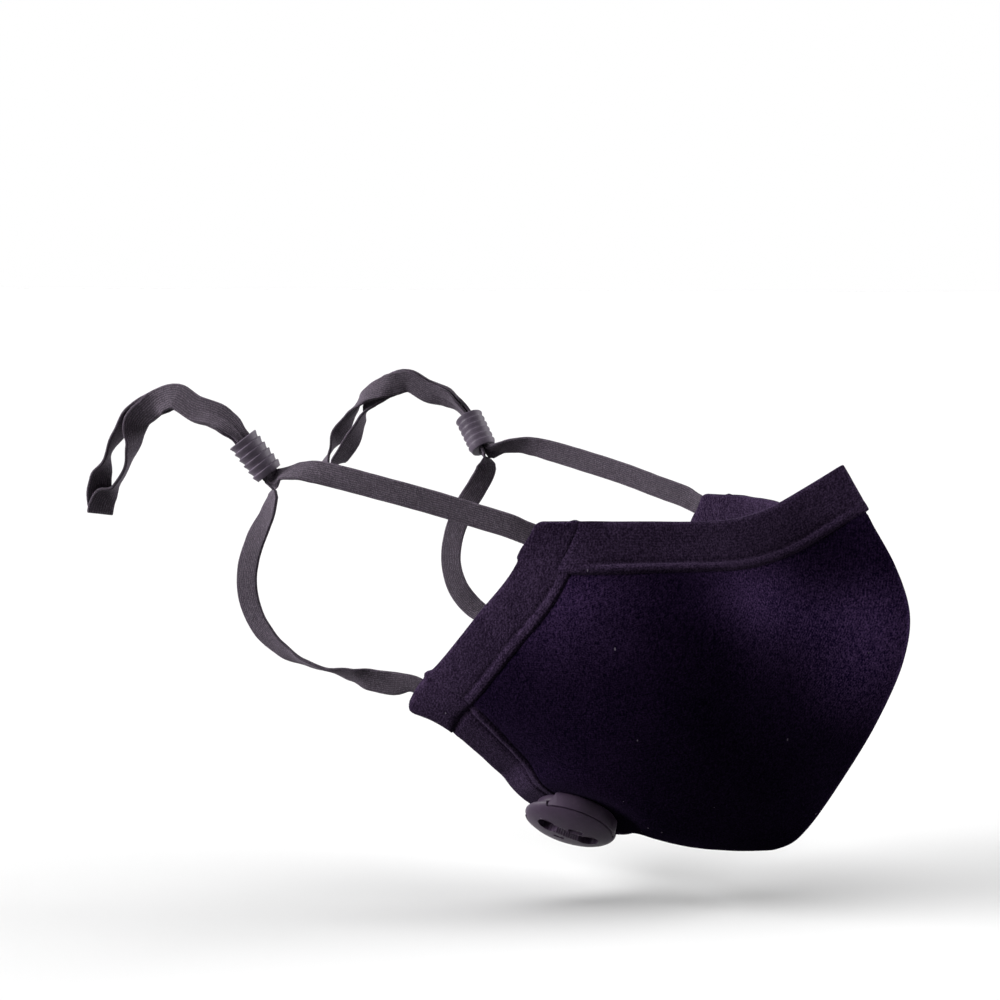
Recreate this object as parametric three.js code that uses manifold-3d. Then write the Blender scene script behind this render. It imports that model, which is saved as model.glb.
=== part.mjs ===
// Valved respirator mask: a black two-panel cloth mask with doubled bands along its edges,
// two adjustable elastic ear loops with ribbed sliders, and one exhalation valve.
//
// Units are millimetres, +Z up. The wearer looks along -Y and the wearer's right side is -X.
// The origin is the centre of the face opening on the midplane: the mask is built in its worn
// shape, and the origin is where the face sits.
//
// The cloth is one curved sheet on each side of the midplane. It is filled in between four
// edges: the centre-front seam, the top edge, the side edge and the hem under the jaw. Every
// cloth piece is a region of that sheet, given by its distance from those edges, with its own
// wall thickness across it.

import * as THREE from 'three';
import { mergeVertices } from 'three/addons/utils/BufferGeometryUtils.js';
import Module from 'manifold-3d';

const wasm = await Module();
wasm.setup();

// ---------------------------------------------------------------- driving dimensions

const gap = 0.3;                 // clearance between neighbouring pieces
const panelHalfWall = 1.0;       // half of the panel cloth's thickness
const bandWidth = 15.6;          // doubled band, from its edge to the end of the welt
const hemBandWidth = 14.4;       // the same for the band along the hem
const cuffCornerRadius = 5;      // rounding of the lower corners
const pressedHalfWall = 1.2;     // half of the cloth's thickness where the valve clamps it

const tapeWidth = 7;             // elastic of the ear loops, drawn tight
const slackWidth = 7.8;          // the same elastic where it hangs loose
const squeezedWidth = 5.0;       // and where the slider's bore draws it in
const tapeThickness = 1;
const tapeStep = 5;              // longest step along the elastic
const pocketDepth = 7;           // length of elastic inside the band's end
const pocketLead = 2;            // straight length of elastic just outside the band
const boreLead = 1.6;            // and just outside the slider

const sliderLength = 12.9;       // ribbed barrel
const sliderRadius = 4.7;
const sliderGrooveRadius = 4.1;
const sliderRingCount = 6;
const sliderBoreWidth = 6.8;     // oblong bore for two strands
const sliderBoreHeight = 3.4;
const strandSpacing = 0.8;       // from the bore's middle to each strand's middle

// Exhalation valve. Heights are over the middle of the cloth, along the valve's axis.
const capRadius = 13.9;
const capWall = 1.2;
const capRise = 9.0;             // top of the dome
const capBackRim = 4.9;          // back edge of the cap's side wall
const outletEdge = 6.3;          // top of the two outlet windows in the side wall
const lobe = { x: 6.4, y: 0.9, halfWidth: 3.0, halfHeight: 3.1 };
const slot = { x: 1.9, y: 4.3, width: 3.1, height: 1.4 };
const skirt = { inner: 9.6, outer: 10.7, outletEdge: 6.1 };
const outletArc = { from: 9, to: 131 };   // degrees, and again half a turn on
const lugArc = { from: 12, to: 128 };
const lugTop = 6.0;
const flangeRadius = 11.2;
const flangeTop = 3.3;
const lipHeight = 0.8;           // seat of the flap over the flange
const neckRadius = 8.8;
const neckBore = 7.5;
const neckDepth = 3.4;
const crossBar = { width: 1.4, height: 1.6 };
const flapRadius = 8.6;
const flapThickness = 0.6;
const stemRadius = 1.3;
const stemTop = 5.4;
const ringRadius = 12.4;
const ringThickness = 1.8;
const ringBevel = 0.7;
const flattenRadius = 14.5;      // the cloth lies flat round the valve up to here
const releaseRadius = 24;        // and has its own shape again from here

// ---------------------------------------------------------------- edges of the cloth sheet

// Centre-front seam, from the bridge of the nose to the throat.
const seamProfile = [
  { y: -58.4, z: 57.0 },
  { y: -62.9, z: 49.4 },
  { y: -67.4, z: 41.8 },
  { y: -75.5, z: 28.0 },
  { y: -80.2, z: 14.0 },
  { y: -78.6, z: 1.4 },
  { y: -70.3, z: -17.4 },
  { y: -59.3, z: -35.9 },
  { y: -48.2, z: -51.6 },
  { y: -43.4, z: -56.0 },
  { y: -37.5, z: -57.9 },
  { y: -29.0, z: -56.8 },
  { y: -16.8, z: -53.2 },
  { y: -6.0, z: -50.2 },
  { y: 4.0, z: -49.0 },
];

// Top edge, from the seam over the side of the nose and the cheek to the upper corner.
const topEdge = [
  { x: 0, y: -58.4, z: 57.0 },
  { x: -8, y: -49.5, z: 50.4 },
  { x: -16, y: -42.4, z: 45.4 },
  { x: -26, y: -35.2, z: 42.6 },
  { x: -38, y: -27.2, z: 42.3 },
  { x: -49, y: -18.0, z: 42.8 },
  { x: -58, y: -6.0, z: 43.0 },
  { x: -65, y: 10.2, z: 43.0 },
];

// Side edge, from the upper corner down the cheek to the lower corner.
const sideEdge = [
  { x: -65.0, y: 10.2, z: 43.0 },
  { x: -66.5, y: 16.8, z: 28.8 },
  { x: -65.6, y: 27.6, z: 16.4 },
  { x: -62.8, y: 41.6, z: 1.2 },
  { x: -60.6, y: 49.9, z: -6.4 },
  { x: -58.6, y: 55.6, z: -14.6 },
];

// Hem, from the throat round the back of the valve's place to the lower corner.
const hemEdge = [
  { x: 0, y: 4.0, z: -49.0 },
  { x: -9, y: 10.6, z: -50.0 },
  { x: -18, y: 17.4, z: -49.8 },
  { x: -27, y: 23.6, z: -46.2 },
  { x: -35.5, y: 28.0, z: -39.8 },
  { x: -42.4, y: 31.8, z: -33.9 },
  { x: -48.6, y: 36.8, z: -26.8 },
  { x: -53.4, y: 41.6, z: -21.3 },
  { x: -56.6, y: 47.0, z: -17.4 },
  { x: -58.6, y: 55.6, z: -14.6 },
];

// How far the panel swells out of the surface that its edges alone would give.
const fullness = [
  { down: 0.08, nearSeam: -1.6, middle: 0.0, nearSide: 1.0 },
  { down: 0.17, nearSeam: -2.8, middle: 2.8, nearSide: 3.0 },
  { down: 0.3, nearSeam: 1.0, middle: 8.0, nearSide: 5.0 },
  { down: 0.46, nearSeam: 6.6, middle: 9.8, nearSide: 5.4 },
  { down: 0.62, nearSeam: 5.8, middle: 8.2, nearSide: 4.4 },
  { down: 0.8, nearSeam: 1.0, middle: 3.4, nearSide: 2.4 },
  { down: 0.92, nearSeam: -0.8, middle: 0.2, nearSide: 1.0 },
];
const laneShares = [0.2, 0.5, 0.75];       // how far from the seam those three columns are

// ---------------------------------------------------------------- wall thickness

// Across a band: distance from its edge, outer face and inner face over the sheet.
const bandSection = [
  { across: 0, outer: 0.7, inner: 0.7 },
  { across: 0.8, outer: 1.35, inner: 1.3 },
  { across: 6, outer: 1.55, inner: 1.5 },
  { across: 11.4, outer: 1.5, inner: 1.5 },
  { across: 12.2, outer: 0.95, inner: 1.4 },
  { across: 13, outer: 1.9, inner: 1.4 },
  { across: 14.6, outer: 1.9, inner: 1.4 },
  { across: bandWidth, outer: 1.0, inner: 1.2 },
];

// Across the folded lower corner, which has no welt of its own.
const cuffSection = [
  { across: 0, outer: 0.8, inner: 0.8 },
  { across: 1, outer: 1.6, inner: 1.5 },
  { across: 5, outer: 1.9, inner: 1.7 },
  { across: 10, outer: 1.9, inner: 1.7 },
  { across: 14.4, outer: 1.8, inner: 1.6 },
  { across: bandWidth, outer: 1.2, inner: 1.3 },
];

// ---------------------------------------------------------------- place of the valve

const valveCentre = new THREE.Vector3(-32.5, 12.2, -44.5);
const valveAxis = new THREE.Vector3(-0.573, 0.038, -0.818).normalize();
const valveForward = new THREE.Vector3(0.384, -0.874, -0.299)
  .projectOnPlane(valveAxis)
  .normalize();

// ---------------------------------------------------------------- elastic of the ear loops

// Each row is a point on the right-hand loop: how far out from the midplane, back and up. turn
// is the angle in degrees between the tape's face and the side of the head: 0 lies flat.
const upperStrand = [
  { out: 67.2, back: 17.4, up: 41.5, turn: 0 },
  { out: 69.0, back: 27.7, up: 44.4, turn: 0 },
  { out: 71.6, back: 40.8, up: 48.1, turn: 0 },
  { out: 73.6, back: 53.8, up: 51.3, turn: 0 },
  { out: 75.3, back: 68.1, up: 54.6, turn: 8 },
  { out: 75.8, back: 75.5, up: 56.0, turn: 25 },
  { out: 75.4, back: 81.4, up: 56.2, turn: 48 },
  { out: 74.4, back: 86.6, up: 55.3, turn: 62 },
];

const lowerStrand = [
  { out: 73.3, back: 91.2, up: 48.5, turn: 42 },
  { out: 72.3, back: 93.9, up: 42.5, turn: 28 },
  { out: 71.2, back: 98.7, up: 34.4, turn: 12 },
  { out: 70.2, back: 101.8, up: 25.4, turn: 4 },
  { out: 68.8, back: 102.0, up: 16.8, turn: 4 },
  { out: 67.6, back: 98.8, up: 8.8, turn: 14 },
  { out: 66.6, back: 92.6, up: 2.6, turn: 36 },
  { out: 65.8, back: 84.6, up: -1.2, turn: 66 },
  { out: 65.0, back: 77.4, up: -3.2, turn: 76 },
  { out: 64.0, back: 70.6, up: -4.4, turn: 52 },
  { out: 62.6, back: 64.3, up: -5.8, turn: 12 },
  { out: 61.2, back: 57.8, up: -6.6, turn: 0 },
];

// The tail beyond the slider is two strands side by side. spread is the distance from their
// middle line to each strand; turn is the angle of the line from strand to strand; roll is the
// extra turn of each strand's own face.
const tailPath = [
  { out: 77.8, back: 103.6, up: 69.4, spread: 0.8, turn: 58, rollGoing: 0, rollComing: 0 },
  { out: 77.6, back: 108.0, up: 71.9, spread: 0.8, turn: 38, rollGoing: 0, rollComing: 0 },
  { out: 77.2, back: 114.8, up: 73.7, spread: 0.8, turn: 20, rollGoing: 0, rollComing: 0 },
  { out: 76.7, back: 121.7, up: 77.1, spread: 0.8, turn: 24, rollGoing: 0, rollComing: 0 },
  { out: 76.3, back: 126.8, up: 76.0, spread: 0.9, turn: 12, rollGoing: 0, rollComing: 0 },
  { out: 75.8, back: 131.4, up: 73.9, spread: 1.1, turn: -28, rollGoing: 0, rollComing: 0 },
  { out: 75.3, back: 136.5, up: 70.7, spread: 1.6, turn: -50, rollGoing: 10, rollComing: 0 },
  { out: 74.5, back: 140.3, up: 64.5, spread: 2.6, turn: -104, rollGoing: 16, rollComing: 16 },
  { out: 73.8, back: 144.1, up: 57.5, spread: 3.3, turn: -111, rollGoing: 0, rollComing: 0 },
  { out: 73.0, back: 147.7, up: 51.5, spread: 2.7, turn: -106, rollGoing: 0, rollComing: 36 },
  { out: 72.5, back: 150.4, up: 46.7, spread: 1.3, turn: -75, rollGoing: 22, rollComing: 30 },
  { out: 72.2, back: 151.1, up: 42.7, spread: 1.1, turn: -30, rollGoing: 0, rollComing: 0 },
];

// Both ends of the slider's bore, on the right-hand side.
const sliderLow = new THREE.Vector3(-73.7, 92.2, 54.9);
const sliderHigh = new THREE.Vector3(-77.0, 99.3, 65.0);
const sliderTurn = 55;

// ---------------------------------------------------------------- the cloth sheet

const vectorOf = (row) => new THREE.Vector3(row.x ?? 0, row.y, row.z);
const curveThrough = (rows) => new THREE.CatmullRomCurve3(rows.map(vectorOf), false, 'centripetal');
const smooth = (t) => THREE.MathUtils.smoothstep(t, 0, 1);

const sheetSteps = 80;
const fullnessSteps = 60;
const seamLine = curveThrough(seamProfile).getSpacedPoints(sheetSteps);
const topLine = curveThrough(topEdge).getSpacedPoints(sheetSteps);
const sideLine = curveThrough(sideEdge).getSpacedPoints(sheetSteps);
const hemLine = curveThrough(hemEdge).getSpacedPoints(sheetSteps);

// Smooth curve through a table of positions and values, as a function of the position. The
// values are drawn small, so that the curve never turns back.
const valueScale = 0.01;
function curveOf(pairs) {
  const curve = new THREE.CatmullRomCurve3(
    pairs.map(([at, value]) => new THREE.Vector3(at, value * valueScale, 0)), false, 'centripetal',
  );
  const points = curve.getPoints(fullnessSteps);
  return (at) => {
    const k = points.findIndex((point) => point.x >= at);
    if (k < 1) return points.at(k).y / valueScale;
    const share = (at - points[k - 1].x) / (points[k].x - points[k - 1].x);
    return THREE.MathUtils.lerp(points[k - 1].y, points[k].y, share) / valueScale;
  };
}

// The three lanes of the fullness table, each nothing at the top edge and at the hem.
const fullnessLanes = ['nearSeam', 'middle', 'nearSide'].map(
  (lane) => curveOf([[0, 0], ...fullness.map((row) => [row.down, row[lane]]), [1, 0]]),
);

function fullnessAt(u, v) {
  const lanes = fullnessLanes.map((lane, k) => [laneShares[k], lane(v)]);
  return curveOf([[0, 0], ...lanes, [1, 0]])(u);
}

// Transfinite patch between the four edges, on the right-hand side.
function patchPoint(i, j) {
  const u = i / sheetSteps;
  const v = j / sheetSteps;
  const point = new THREE.Vector3()
    .addScaledVector(seamLine[j], 1 - u)
    .addScaledVector(sideLine[j], u)
    .addScaledVector(topLine[i], 1 - v)
    .addScaledVector(hemLine[i], v);
  return point
    .addScaledVector(topLine[0], -(1 - u) * (1 - v))
    .addScaledVector(topLine[sheetSteps], -u * (1 - v))
    .addScaledVector(hemLine[0], -(1 - u) * v)
    .addScaledVector(hemLine[sheetSteps], -u * v);
}

function latticeNormal(points, i, j) {
  const clampIndex = (k) => Math.min(Math.max(k, 0), sheetSteps);
  const along = points[clampIndex(i + 1)][j].clone().sub(points[clampIndex(i - 1)][j]);
  const down = points[i][clampIndex(j + 1)].clone().sub(points[i][clampIndex(j - 1)]);
  return along.cross(down).normalize();
}

function latticeOf(pointAt) {
  const points = [];
  for (let i = 0; i <= sheetSteps; i++) {
    points.push([]);
    for (let j = 0; j <= sheetSteps; j++) points[i].push(pointAt(i, j));
  }
  return points;
}

const patchLattice = latticeOf(patchPoint);
const fullLattice = latticeOf((i, j) => {
  const swell = fullnessAt(i / sheetSteps, j / sheetSteps);
  return patchLattice[i][j].clone().addScaledVector(latticeNormal(patchLattice, i, j), swell);
});

// Distance from the valve's axis line, and height over its plane.
function valvePolar(point) {
  const from = point.clone().sub(valveCentre);
  const height = from.dot(valveAxis);
  return { height, radius: Math.sqrt(Math.max(from.lengthSq() - height * height, 0)) };
}

const clampShare = (radius) => 1 - smooth((radius - flattenRadius) / (releaseRadius - flattenRadius));

const flattenedLattice = latticeOf((i, j) => {
  const point = fullLattice[i][j].clone();
  const { height, radius } = valvePolar(point);
  return point.addScaledVector(valveAxis, -height * clampShare(radius));
});

function withNormals(points) {
  return points.map((column, i) => column.map((point, j) => {
    const normal = latticeNormal(points, i, j);
    if (i === 0) {
      // Mitre on the midplane, so that both halves share one edge there.
      const inPlane = new THREE.Vector3(0, normal.y, normal.z);
      normal.copy(inPlane.divideScalar(inPlane.lengthSq()));
    }
    return { point, normal };
  }));
}

const sheets = {
  right: withNormals(flattenedLattice),
  left: withNormals(fullLattice),
};

// Point and outward normal of the sheet. u runs from the seam (0) to a side edge (1 on the
// wearer's right, -1 on the left) and v from the top edge (0) to the hem (1).
function sheetAt(u, v) {
  const lattice = u < 0 ? sheets.left : sheets.right;
  const x = Math.min(Math.abs(u), 1) * sheetSteps;
  const y = THREE.MathUtils.clamp(v, 0, 1) * sheetSteps;
  const i = Math.min(Math.floor(x), sheetSteps - 1);
  const j = Math.min(Math.floor(y), sheetSteps - 1);
  const blend = (key) => {
    const upper = lattice[i][j][key].clone().lerp(lattice[i + 1][j][key], x - i);
    const lower = lattice[i][j + 1][key].clone().lerp(lattice[i + 1][j + 1][key], x - i);
    return upper.lerp(lower, y - j);
  };
  const point = blend('point');
  const normal = blend('normal');
  if (u < 0) {
    point.x = -point.x;
    normal.x = -normal.x;
  }
  return { point, normal };
}

// ---------------------------------------------------------------- distances from the edges

const borders = {};
for (const side of ['right', 'left']) {
  const lattice = sheets[side];
  const flip = (p) => new THREE.Vector3(side === 'left' ? -p.x : p.x, p.y, p.z);
  borders[side] = {
    top: lattice.map((column) => flip(column[0].point)),
    hem: lattice.map((column) => flip(column[sheetSteps].point)),
    side: lattice[sheetSteps].map((entry) => flip(entry.point)),
  };
}

function distanceTo(line, point) {
  const segment = new THREE.Line3();
  const nearest = new THREE.Vector3();
  let best = Infinity;
  for (let k = 0; k + 1 < line.length; k++) {
    segment.set(line[k], line[k + 1]);
    segment.closestPointToPoint(point, true, nearest);
    best = Math.min(best, nearest.distanceTo(point));
  }
  return best;
}

// Halves an interval until place(t) lies at the wanted distance from the line.
function solve(place, line, wanted, start, end) {
  let near = start;
  let far = end;
  for (let k = 0; k < 16; k++) {
    const middle = (near + far) / 2;
    if (distanceTo(line, place(middle)) < wanted) near = middle;
    else far = middle;
  }
  return wanted === 0 ? start : (near + far) / 2;
}

const sideOf = (u) => (u < 0 ? 'left' : 'right');
const fromTop = (u, mm) => solve((v) => sheetAt(u, v).point, borders[sideOf(u)].top, mm, 0, 0.6);
const fromHem = (u, mm) => solve((v) => sheetAt(u, v).point, borders[sideOf(u)].hem, mm, 1, 0.4);
const fromSide = (sign, v, mm) => sign * solve(
  (u) => sheetAt(sign * u, v).point, borders[sideOf(sign)].side, mm, 1, 0.3,
);

// Both coordinates of a region depend on each other, so they are settled in turns.
function settle(uFrom, vFrom, u, v) {
  for (let k = 0; k < 5; k++) {
    u = uFrom(v);
    v = vFrom(u);
  }
  return { u, v };
}

// ---------------------------------------------------------------- solids from grids

// Closed wall between an outer and an inner grid of points, with its four borders joined.
function wallGeometry(outer, inner) {
  const rows = outer.length;
  const columns = outer[0].length;
  const positions = [...outer.flat(), ...inner.flat()].flatMap((p) => [p.x, p.y, p.z]);
  const at = (layer, i, j) => layer * rows * columns + i * columns + j;
  const faces = [];
  const quad = (a, b, c, d) => faces.push(a, b, c, a, c, d);
  for (let i = 0; i + 1 < rows; i++) {
    for (let j = 0; j + 1 < columns; j++) {
      quad(at(0, i, j), at(0, i + 1, j), at(0, i + 1, j + 1), at(0, i, j + 1));
      quad(at(1, i, j), at(1, i, j + 1), at(1, i + 1, j + 1), at(1, i + 1, j));
    }
  }
  for (let i = 0; i + 1 < rows; i++) {
    const last = columns - 1;
    quad(at(0, i, 0), at(1, i, 0), at(1, i + 1, 0), at(0, i + 1, 0));
    quad(at(0, i, last), at(0, i + 1, last), at(1, i + 1, last), at(1, i, last));
  }
  for (let j = 0; j + 1 < columns; j++) {
    const last = rows - 1;
    quad(at(0, 0, j), at(0, 0, j + 1), at(1, 0, j + 1), at(1, 0, j));
    quad(at(0, last, j), at(1, last, j), at(1, last, j + 1), at(0, last, j + 1));
  }
  const geometry = new THREE.BufferGeometry();
  geometry.setAttribute('position', new THREE.Float32BufferAttribute(positions, 3));
  geometry.setIndex(faces);
  return facingOut(geometry);
}

function signedVolume(geometry) {
  const p = geometry.attributes.position;
  const index = geometry.index.array;
  const corner = [new THREE.Vector3(), new THREE.Vector3(), new THREE.Vector3()];
  let sum = 0;
  for (let k = 0; k < index.length; k += 3) {
    corner.forEach((vector, n) => vector.fromBufferAttribute(p, index[k + n]));
    sum += corner[0].dot(corner[1].clone().cross(corner[2]));
  }
  return sum / 6;
}

function facingOut(geometry) {
  if (signedVolume(geometry) < 0) {
    const index = geometry.index.array;
    for (let k = 0; k < index.length; k += 3) [index[k], index[k + 1]] = [index[k + 1], index[k]];
  }
  return geometry;
}

// Outer and inner point of a wall over the sheet. Where the valve clamps it, the cloth of its
// side is pressed to one thickness.
function wallPoints(u, v, outer, inner) {
  const { point, normal } = sheetAt(u, v);
  const share = u >= 0 ? clampShare(valvePolar(point).radius) : 0;
  const rise = THREE.MathUtils.lerp(outer, Math.min(outer, pressedHalfWall), share);
  const depth = THREE.MathUtils.lerp(inner, Math.min(inner, pressedHalfWall), share);
  return {
    outer: point.clone().addScaledVector(normal, rise),
    inner: point.clone().addScaledVector(normal, -depth),
  };
}

// A wall whose grid is given by a function of two fractions or table rows.
function clothWall(lengthwise, crosswise, spot) {
  const outer = [];
  const inner = [];
  for (const a of lengthwise) {
    outer.push([]);
    inner.push([]);
    for (const b of crosswise) {
      const { u, v, rise, depth, shiftX = 0 } = spot(a, b);
      const pair = wallPoints(u, v, rise, depth);
      pair.outer.x += shiftX;
      pair.inner.x += shiftX;
      outer.at(-1).push(pair.outer);
      inner.at(-1).push(pair.inner);
    }
  }
  return wallGeometry(outer, inner);
}

const fractions = (count, from = 0, to = 1) => Array.from(
  { length: count + 1 }, (_, k) => from + ((to - from) * k) / count,
);

// ---------------------------------------------------------------- booleans

function toSolid(geometry) {
  const bare = new THREE.BufferGeometry();
  bare.setAttribute('position', geometry.attributes.position.clone());
  if (geometry.index) bare.setIndex(geometry.index.clone());
  const merged = mergeVertices(bare, 1e-4);
  return new wasm.Manifold(new wasm.Mesh({
    numProp: 3,
    vertProperties: new Float32Array(merged.attributes.position.array),
    triVerts: new Uint32Array(merged.index.array),
  }));
}

function toGeometry(solid) {
  const mesh = solid.getMesh();
  const geometry = new THREE.BufferGeometry();
  geometry.setAttribute('position', new THREE.BufferAttribute(new Float32Array(mesh.vertProperties), 3));
  geometry.setIndex(new THREE.BufferAttribute(new Uint32Array(mesh.triVerts), 1));
  return geometry;
}

const cutAway = (body, ...tools) => toGeometry(
  tools.reduce((solid, tool) => solid.subtract(toSolid(tool)), toSolid(body)),
);
const joined = (...bodies) => toGeometry(
  bodies.map(toSolid).reduce((solid, next) => solid.add(next)),
);

// ---------------------------------------------------------------- frames for turned pieces

// Matrix whose Z axis is `axis`, whose X axis is close to `forward`, at `origin`.
function frameAt(origin, axis, forward) {
  const z = axis.clone().normalize();
  const x = forward.clone().projectOnPlane(z).normalize();
  const y = z.clone().cross(x);
  return new THREE.Matrix4().makeBasis(x, y, z).setPosition(origin);
}

const valveFrame = frameAt(valveCentre, valveAxis, valveForward);

// Lathe round Z from a table of radius and height rows.
function turned(rows, segments) {
  const profile = rows.map((row) => new THREE.Vector2(row.r, row.z));
  const closed = profile[0].x > 0 || profile.at(-1).x > 0;
  if (closed) profile.push(profile[0].clone());
  const geometry = new THREE.LatheGeometry(profile, segments);
  geometry.rotateX(Math.PI / 2);
  return facingOut(mergeVertices(stripped(geometry), 1e-4));
}

function stripped(geometry) {
  geometry.deleteAttribute('normal');
  geometry.deleteAttribute('uv');
  return geometry;
}

function extruded(shape, low, high, segments = 12) {
  const geometry = new THREE.ExtrudeGeometry(shape, {
    depth: high - low, bevelEnabled: false, curveSegments: segments,
  });
  return mergeVertices(stripped(geometry), 1e-4).translate(0, 0, low);
}

// Flat ring sector between two radii and two angles in degrees, from height low to high.
function sector(innerRadius, outerRadius, fromAngle, toAngle, low, high) {
  const start = THREE.MathUtils.degToRad(fromAngle);
  const end = THREE.MathUtils.degToRad(toAngle);
  const shape = new THREE.Shape();
  shape.absarc(0, 0, outerRadius, start, end, false);
  shape.absarc(0, 0, innerRadius, end, start, true);
  shape.closePath();
  return extruded(shape, low, high, 9);
}

// ---------------------------------------------------------------- ear loop elastic

// Directions at a point of the loop: `flat` looks away from the head, `lift` is square to it
// and to the route. The tape's face is turned from the first towards the second.
function faceDirection(along, turn) {
  const flat = new THREE.Vector3(-1, 0, 0).projectOnPlane(along).normalize();
  const lift = along.clone().cross(flat).normalize();
  const angle = THREE.MathUtils.degToRad(turn);
  return flat.multiplyScalar(Math.cos(angle)).addScaledVector(lift, Math.sin(angle));
}

const loopPoint = (row) => new THREE.Vector3(-row.out, row.back, row.up);

function routeDirection(points, k) {
  const before = points[Math.max(k - 1, 0)];
  const after = points[Math.min(k + 1, points.length - 1)];
  return after.clone().sub(before).normalize();
}

// Stations of a strand that lies against the head.
function strandStations(rows) {
  const points = rows.map(loopPoint);
  return rows.map((row, k) => ({
    point: points[k],
    face: faceDirection(routeDirection(points, k), row.turn),
    width: tapeWidth,
  }));
}

// Stations of both strands of the tail, joined by a round turn at its end.
function tailStations() {
  const middle = tailPath.map(loopPoint);
  const going = [];
  const coming = [];
  tailPath.forEach((row, k) => {
    const along = routeDirection(middle, k);
    const apart = faceDirection(along, row.turn);
    going.push({
      point: middle[k].clone().addScaledVector(apart, row.spread),
      face: faceDirection(along, row.turn + row.rollGoing),
      width: slackWidth,
    });
    coming.unshift({
      point: middle[k].clone().addScaledVector(apart, -row.spread),
      face: faceDirection(along, row.turn + row.rollComing).negate(),
      width: slackWidth,
    });
  });
  const along = routeDirection(middle, middle.length - 1);
  const apart = faceDirection(along, tailPath.at(-1).turn);
  const radius = tailPath.at(-1).spread;
  const turnRound = [45, 90, 135].map((degrees) => {
    const angle = THREE.MathUtils.degToRad(degrees);
    const outward = apart.clone().multiplyScalar(Math.cos(angle))
      .addScaledVector(along, Math.sin(angle));
    return {
      point: middle.at(-1).clone().addScaledVector(outward, radius),
      face: outward,
      width: slackWidth,
    };
  });
  return [...going, ...turnRound, ...coming];
}

const boreAxis = sliderHigh.clone().sub(sliderLow).normalize();
const boreFace = faceDirection(boreAxis, sliderTurn);

// Stations of one strand straight through the bore and a little way out at both ends.
function boreStations(sign) {
  const heights = [-boreLead, 0, sliderLength, sliderLength + boreLead];
  if (sign < 0) heights.reverse();
  return heights.map((height) => ({
    point: sliderLow.clone()
      .addScaledVector(boreAxis, height)
      .addScaledVector(boreFace, sign * strandSpacing),
    face: boreFace.clone().multiplyScalar(sign),
    width: squeezedWidth,
  }));
}

// Where the elastic's middle lies in a band's end: v is the row of the sheet it starts from,
// height the distance from the band's free edge, slope the change of that distance with depth
// and width the width it is gathered to.
const upperPocket = { v: 0.05, height: 4.2, slope: 0.2, width: 6.6, from: fromTop };
const lowerPocket = { v: 0.86, height: 9.0, slope: -0.1, width: 5.4, from: fromHem };

function pocketSpot(pocket, depth) {
  const u = fromSide(1, pocket.v, depth);
  return sheetAt(u, pocket.from(u, pocket.height + pocket.slope * depth));
}

// Stations of the elastic in a band's end, from just outside the edge to the end of the pocket.
function pocketStations(pocket) {
  const edge = pocketSpot(pocket, 0);
  const inside = pocketSpot(pocket, pocketLead);
  const middle = pocketSpot(pocket, pocketDepth / 2);
  const end = pocketSpot(pocket, pocketDepth);
  const lead = edge.point.clone().multiplyScalar(2).sub(inside.point);
  return [{ point: lead, normal: edge.normal }, middle, end].map(({ point, normal }) => ({
    point, face: normal, width: pocket.width,
  }));
}

const loopStations = [
  ...pocketStations(upperPocket).reverse(),
  ...strandStations(upperStrand),
  ...boreStations(1),
  ...tailStations(),
  ...boreStations(-1),
  ...strandStations(lowerStrand),
  ...pocketStations(lowerPocket),
];

// Flat tape swept through stations; each step keeps the face turned as its stations say.
function tapeGeometry(stations, thickness, extraWidth = 0) {
  const route = new THREE.CatmullRomCurve3(stations.map((s) => s.point), false, 'centripetal');
  const last = stations.length - 1;
  const rings = [];
  for (let k = 0; k < last; k++) {
    const length = stations[k].point.distanceTo(stations[k + 1].point);
    const steps = Math.max(1, Math.ceil(length / tapeStep));
    for (let n = 0; n < steps; n++) rings.push(k + n / steps);
  }
  rings.push(last);
  const outer = [];
  const inner = [];
  for (const ring of rings) {
    const k = Math.min(Math.floor(ring), last - 1);
    const share = smooth(ring - k);
    const along = route.getTangent(ring / last);
    const face = stations[k].face.clone().lerp(stations[k + 1].face, share)
      .projectOnPlane(along).normalize();
    const across = along.clone().cross(face);
    const width = THREE.MathUtils.lerp(stations[k].width, stations[k + 1].width, share) + extraWidth;
    const centre = route.getPoint(ring / last);
    const edge = (sign, lift) => centre.clone()
      .addScaledVector(across, (sign * width) / 2)
      .addScaledVector(face, (lift * thickness) / 2);
    outer.push([edge(-1, 1), edge(1, 1)]);
    inner.push([edge(-1, -1), edge(1, -1)]);
  }
  return wallGeometry(outer, inner);
}

// ---------------------------------------------------------------- materials

const cloth = new THREE.MeshStandardMaterial({ color: 0x14101a, roughness: 0.95, metalness: 0 });
const bandCloth = new THREE.MeshStandardMaterial({ color: 0x211b28, roughness: 0.95, metalness: 0 });
const elastic = new THREE.MeshStandardMaterial({ color: 0x4a434c, roughness: 0.8, metalness: 0 });
const sliderRubber = new THREE.MeshStandardMaterial({ color: 0x4f4852, roughness: 0.6, metalness: 0 });
const valvePlastic = new THREE.MeshStandardMaterial({ color: 0x3c3440, roughness: 0.4, metalness: 0 });
const flapSilicone = new THREE.MeshStandardMaterial({ color: 0x2c2730, roughness: 0.7, metalness: 0 });

const mask = new THREE.Group();

function addPiece(parent, name, geometry, material) {
  const mesh = new THREE.Mesh(geometry, material);
  mesh.name = name;
  parent.add(mesh);
  return mesh;
}

function mirrorGeometry(geometry) {
  return facingOut(geometry.clone().scale(-1, 1, 1));
}

// ---------------------------------------------------------------- cloth pieces

const inset = bandWidth + gap;
const hemInset = hemBandWidth + gap;
const hemShare = hemBandWidth / bandWidth;
const panelColumns = 16;         // from the seam to the side casing; the bands share them
const panelRows = 13;
const endColumns = 4;            // of the top band, from there to its end
const casingRows = 10;

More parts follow.
